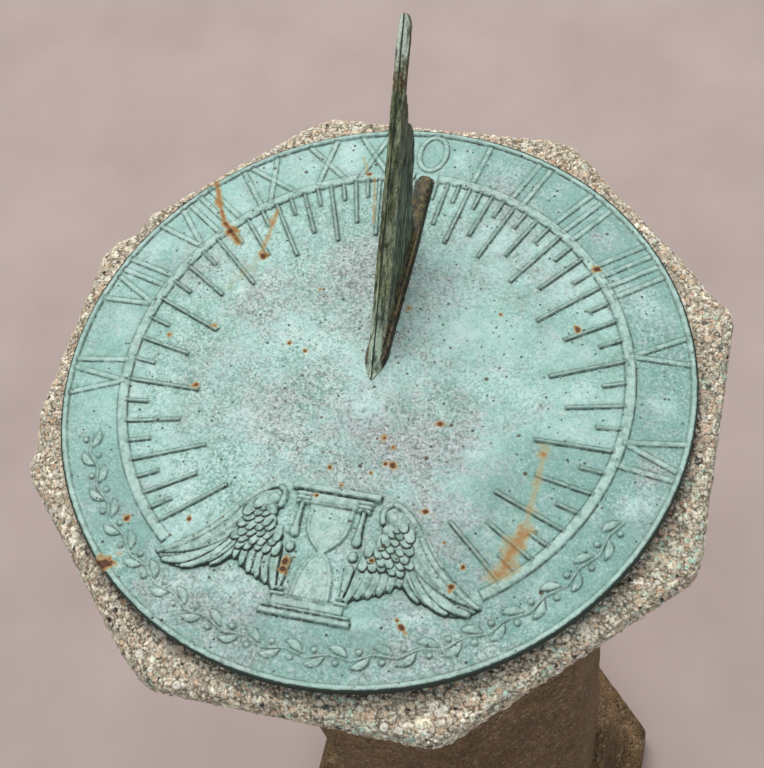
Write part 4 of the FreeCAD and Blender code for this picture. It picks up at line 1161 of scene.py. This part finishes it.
def pedestal_stone():
    """The shaft and base: cast stone painted darker and browner than it is, as painted shade and a painted
    warm reflection; its aggregate dulled, damp-stained at foot and top.
    """
    p = Paint("pedestal_stone")
    broad, medium = p.noise(16, 4, 0.6), p.noise(90, 5, 0.65)
    small, fine = p.noise(330, 5, 0.7), p.noise(800, 4, 0.75)
    # painted shade and a painted warm reflection: these base colours are darker and browner than the stone
    p.colour = p.ramp(medium, (0.36, (92, 72, 46)), (0.5, (116, 91, 59)), (0.64, (138, 109, 73)))
    rise = small
    for shade, scale, chance, reach, amount in (((158, 136, 110), 150, 0.60, 0.42, 0.75),
                                                ((62, 48, 36), 210, 0.66, 0.38, 0.8),
                                                ((186, 166, 138), 240, 0.74, 0.40, 0.8),
                                                ((146, 112, 84), 330, 0.66, 0.40, 0.75),
                                                ((26, 22, 20), 280, 0.84, 0.36, 0.9)):
        rise = p.weighted((rise, 1.0), (p.grains(shade, scale, chance, reach, amount), 0.3))
    p.coat((52, 40, 30), p.span(small, 0.47, 0.38, 0, 0.7))
    p.flecks(fine, (58, 44, 32), (176, 154, 126), 0.6)
    p.coat((156, 124, 98), p.span(broad, 0.48, 0.66, 0, 0.3), blend="MULTIPLY")
    height = p.node("ShaderNodeSeparateXYZ", Vector=p.place).outputs["Z"]
    runs = p.noise(14, 5, 0.7, p.stretch(1, 1, 0.12))
    damp = p.math("ADD", p.span(height, 0.16, 0.0, 0, 0.6), p.span(height, 0.60, 0.71, 0, 0.7))
    damp = p.math("MULTIPLY", p.math("ADD", damp, 0.12), p.span(runs, 0.42, 0.62, 0.2, 1.0), True)
    p.coat((96, 82, 58), damp, blend="MULTIPLY")
    rise = p.weighted((rise, 1.0), (fine, 0.4))
    return p.finish(p.span(medium, 0.3, 0.7, 0.72, 0.94), rise, 0.0014, 0.9, specular=0.25)


def mortar():
    p = Paint("weathered_mortar")
    grain = p.noise(900, 5, 0.7)
    p.colour = p.ramp(p.noise(60, 4), (0.35, (122, 116, 106)), (0.6, (158, 152, 140)))
    p.coat((96, 90, 82), p.span(grain, 0.55, 0.7, 0, 0.5))
    return p.finish(0.92, grain, 0.0006, 0.8, specular=0.2)


def machined(name, dark, light, metallic, tarnish, scale, rough):
    """Turned or drawn metal with fine tool lines and tarnish."""
    p = Paint(name)
    lines = p.noise(scale, 3, 0.6, p.stretch(1, 1, 14))
    cloud = p.noise(90, 4, 0.6)
    p.colour = p.mix(cloud, dark, light)
    p.coat(tarnish, p.span(p.noise(240, 4, 0.65), 0.52, 0.7, 0, 0.6))
    return p.finish(p.span(cloud, 0.3, 0.7, rough - 0.1, rough + 0.12), lines, 0.0001, 0.4, metallic)


def pad_rubber():
    p = Paint("pad_rubber")
    grain = p.noise(1400, 4, 0.6)
    p.colour = p.ramp(p.noise(120, 3), (0.35, (26, 26, 26)), (0.65, (44, 43, 41)))
    return p.finish(p.span(grain, 0.3, 0.7, 0.6, 0.85), grain, 0.0002, 0.5)


def paint_piece(piece, material):
    piece.data.materials.clear()
    piece.data.materials.append(material)


def paint_nodes(material, *nodes):
    """Give CAD nodes that are shown as they are a better material."""
    for name in nodes:
        for slot in frame["nodes"][name].material_slots:
            slot.material = material


# ---------------------------------------------------------------- build the pieces
dial = dial_casting()
paint_piece(dial, verdigris())
gnomon = gnomon_casting()
paint_piece(gnomon, dark_patina())

cap = cap_stone()
paint_piece(cap, cap_aggregate())

# lumps as size, depth and noise seed
shaft = stone_form("shaft_stone", "pedestal_shaft", 2.6 * MM, 3,
                   ((40.0, 1.2, 15), (9.0, 0.9, 16), (5.0, 0.8, 17)))
base = stone_form("base_stone", "pedestal_base", 2.4 * MM, 2,
                  ((40.0, 1.6, 25), (9.0, 1.0, 26), (5.0, 0.8, 27)))
dark_stone = pedestal_stone()
paint_piece(shaft, dark_stone)
paint_piece(base, dark_stone)

paint_nodes(mortar(), "base_mortar", "cap_mortar", "bush_grout")
paint_nodes(machined("rusty_steel", (74, 52, 40), (110, 96, 88), 0.35, (92, 50, 28), 500, 0.65),
            "base_hoop", "cap_hoop", "shaft_bars", "shaft_ties")
paint_nodes(machined("stainless_steel", (150, 150, 152), (188, 188, 190), 1.0, (120, 118, 114), 700, 0.34),
            "base_dowels", "cap_dowels", "spring_washer")
paint_nodes(machined("turned_bronze", (140, 98, 54), (186, 142, 84), 0.9, (96, 84, 56), 600, 0.38),
            "stud_bush", "gnomon_screws", "gnomon_pin", "dial_stud", "thrust_washer", "stud_nut", "lock_nut")
paint_nodes(pad_rubber(), "levelling_pads")


# ---------------------------------------------------------------- floor, light and camera
def floor():
    bpy.ops.mesh.primitive_plane_add(size=8.0)
    plane = bpy.context.object
    plane.name = "floor"
    p = Paint("pale_floor")
    p.colour = p.ramp(p.noise(6, 3), (0.3, (178, 160, 154)), (0.7, (190, 172, 166)))
    paint_piece(plane, p.finish(0.9, p.noise(300, 3), 0.0005, 0.3))


def area_light(name, azimuth, elevation, distance, size, power, colour):
    """A square soft light, placed about the dial's centre; azimuth is clockwise from north."""
    a, e = math.radians(azimuth), math.radians(elevation)
    direction = Vector((math.sin(a) * math.cos(e), math.cos(a) * math.cos(e), math.sin(e)))
    lamp = bpy.data.lights.new(name, "AREA")
    lamp.size, lamp.energy, lamp.color = size, power, colour
    holder = bpy.data.objects.new(name, lamp)
    bpy.context.scene.collection.objects.link(holder)
    holder.location = dial_centre + direction * distance
    holder.rotation_euler = direction.to_track_quat("Z", "Y").to_euler()


def studio_light():
    world = bpy.data.worlds.new("soft_sky")
    world.use_nodes = True
    sky = world.node_tree.nodes["Background"]
    sky.inputs["Color"].default_value = (0.84, 0.87, 0.90, 1)
    sky.inputs["Strength"].default_value = 0.60
    bpy.context.scene.world = world
    area_light("key", -24, 52, 2.2, 1.4, 42, (1.0, 0.97, 0.94))
    area_light("fill", 150, 45, 2.6, 2.2, 9, (0.95, 0.97, 1.0))


def camera():
    """Looks down from the south-south-east, rolled a little, as near as a person leaning over the dial."""
    view_azimuth, view_elevation, view_roll = (math.radians(a) for a in (26.53, 59.08, -14.92))
    place = Vector((0.9764, -1.8913, 3.4955)) * dial_radius * MM
    back = Vector((math.sin(view_azimuth) * math.cos(view_elevation),
                   -math.cos(view_azimuth) * math.cos(view_elevation), math.sin(view_elevation)))
    level = Vector((math.cos(view_azimuth), math.sin(view_azimuth), 0))
    upright = back.cross(level)
    right = level * math.cos(view_roll) + upright * math.sin(view_roll)
    above = -level * math.sin(view_roll) + upright * math.cos(view_roll)
    lens = bpy.data.cameras.new("camera")
    lens.sensor_fit, lens.sensor_height, lens.lens = "VERTICAL", 36.0, 61.4
    lens.clip_start = 0.02
    holder = bpy.data.objects.new("camera", lens)
    bpy.context.scene.collection.objects.link(holder)
    turn = Matrix((right, above, back)).transposed().to_4x4()
    marks_level = Vector((0, 0, rim_height * MM))
    holder.matrix_world = Matrix.Translation(dial_centre + marks_level + place) @ turn
    bpy.context.scene.camera = holder


floor()
studio_light()
camera()
bpy.context.scene.view_settings.view_transform = "Standard"
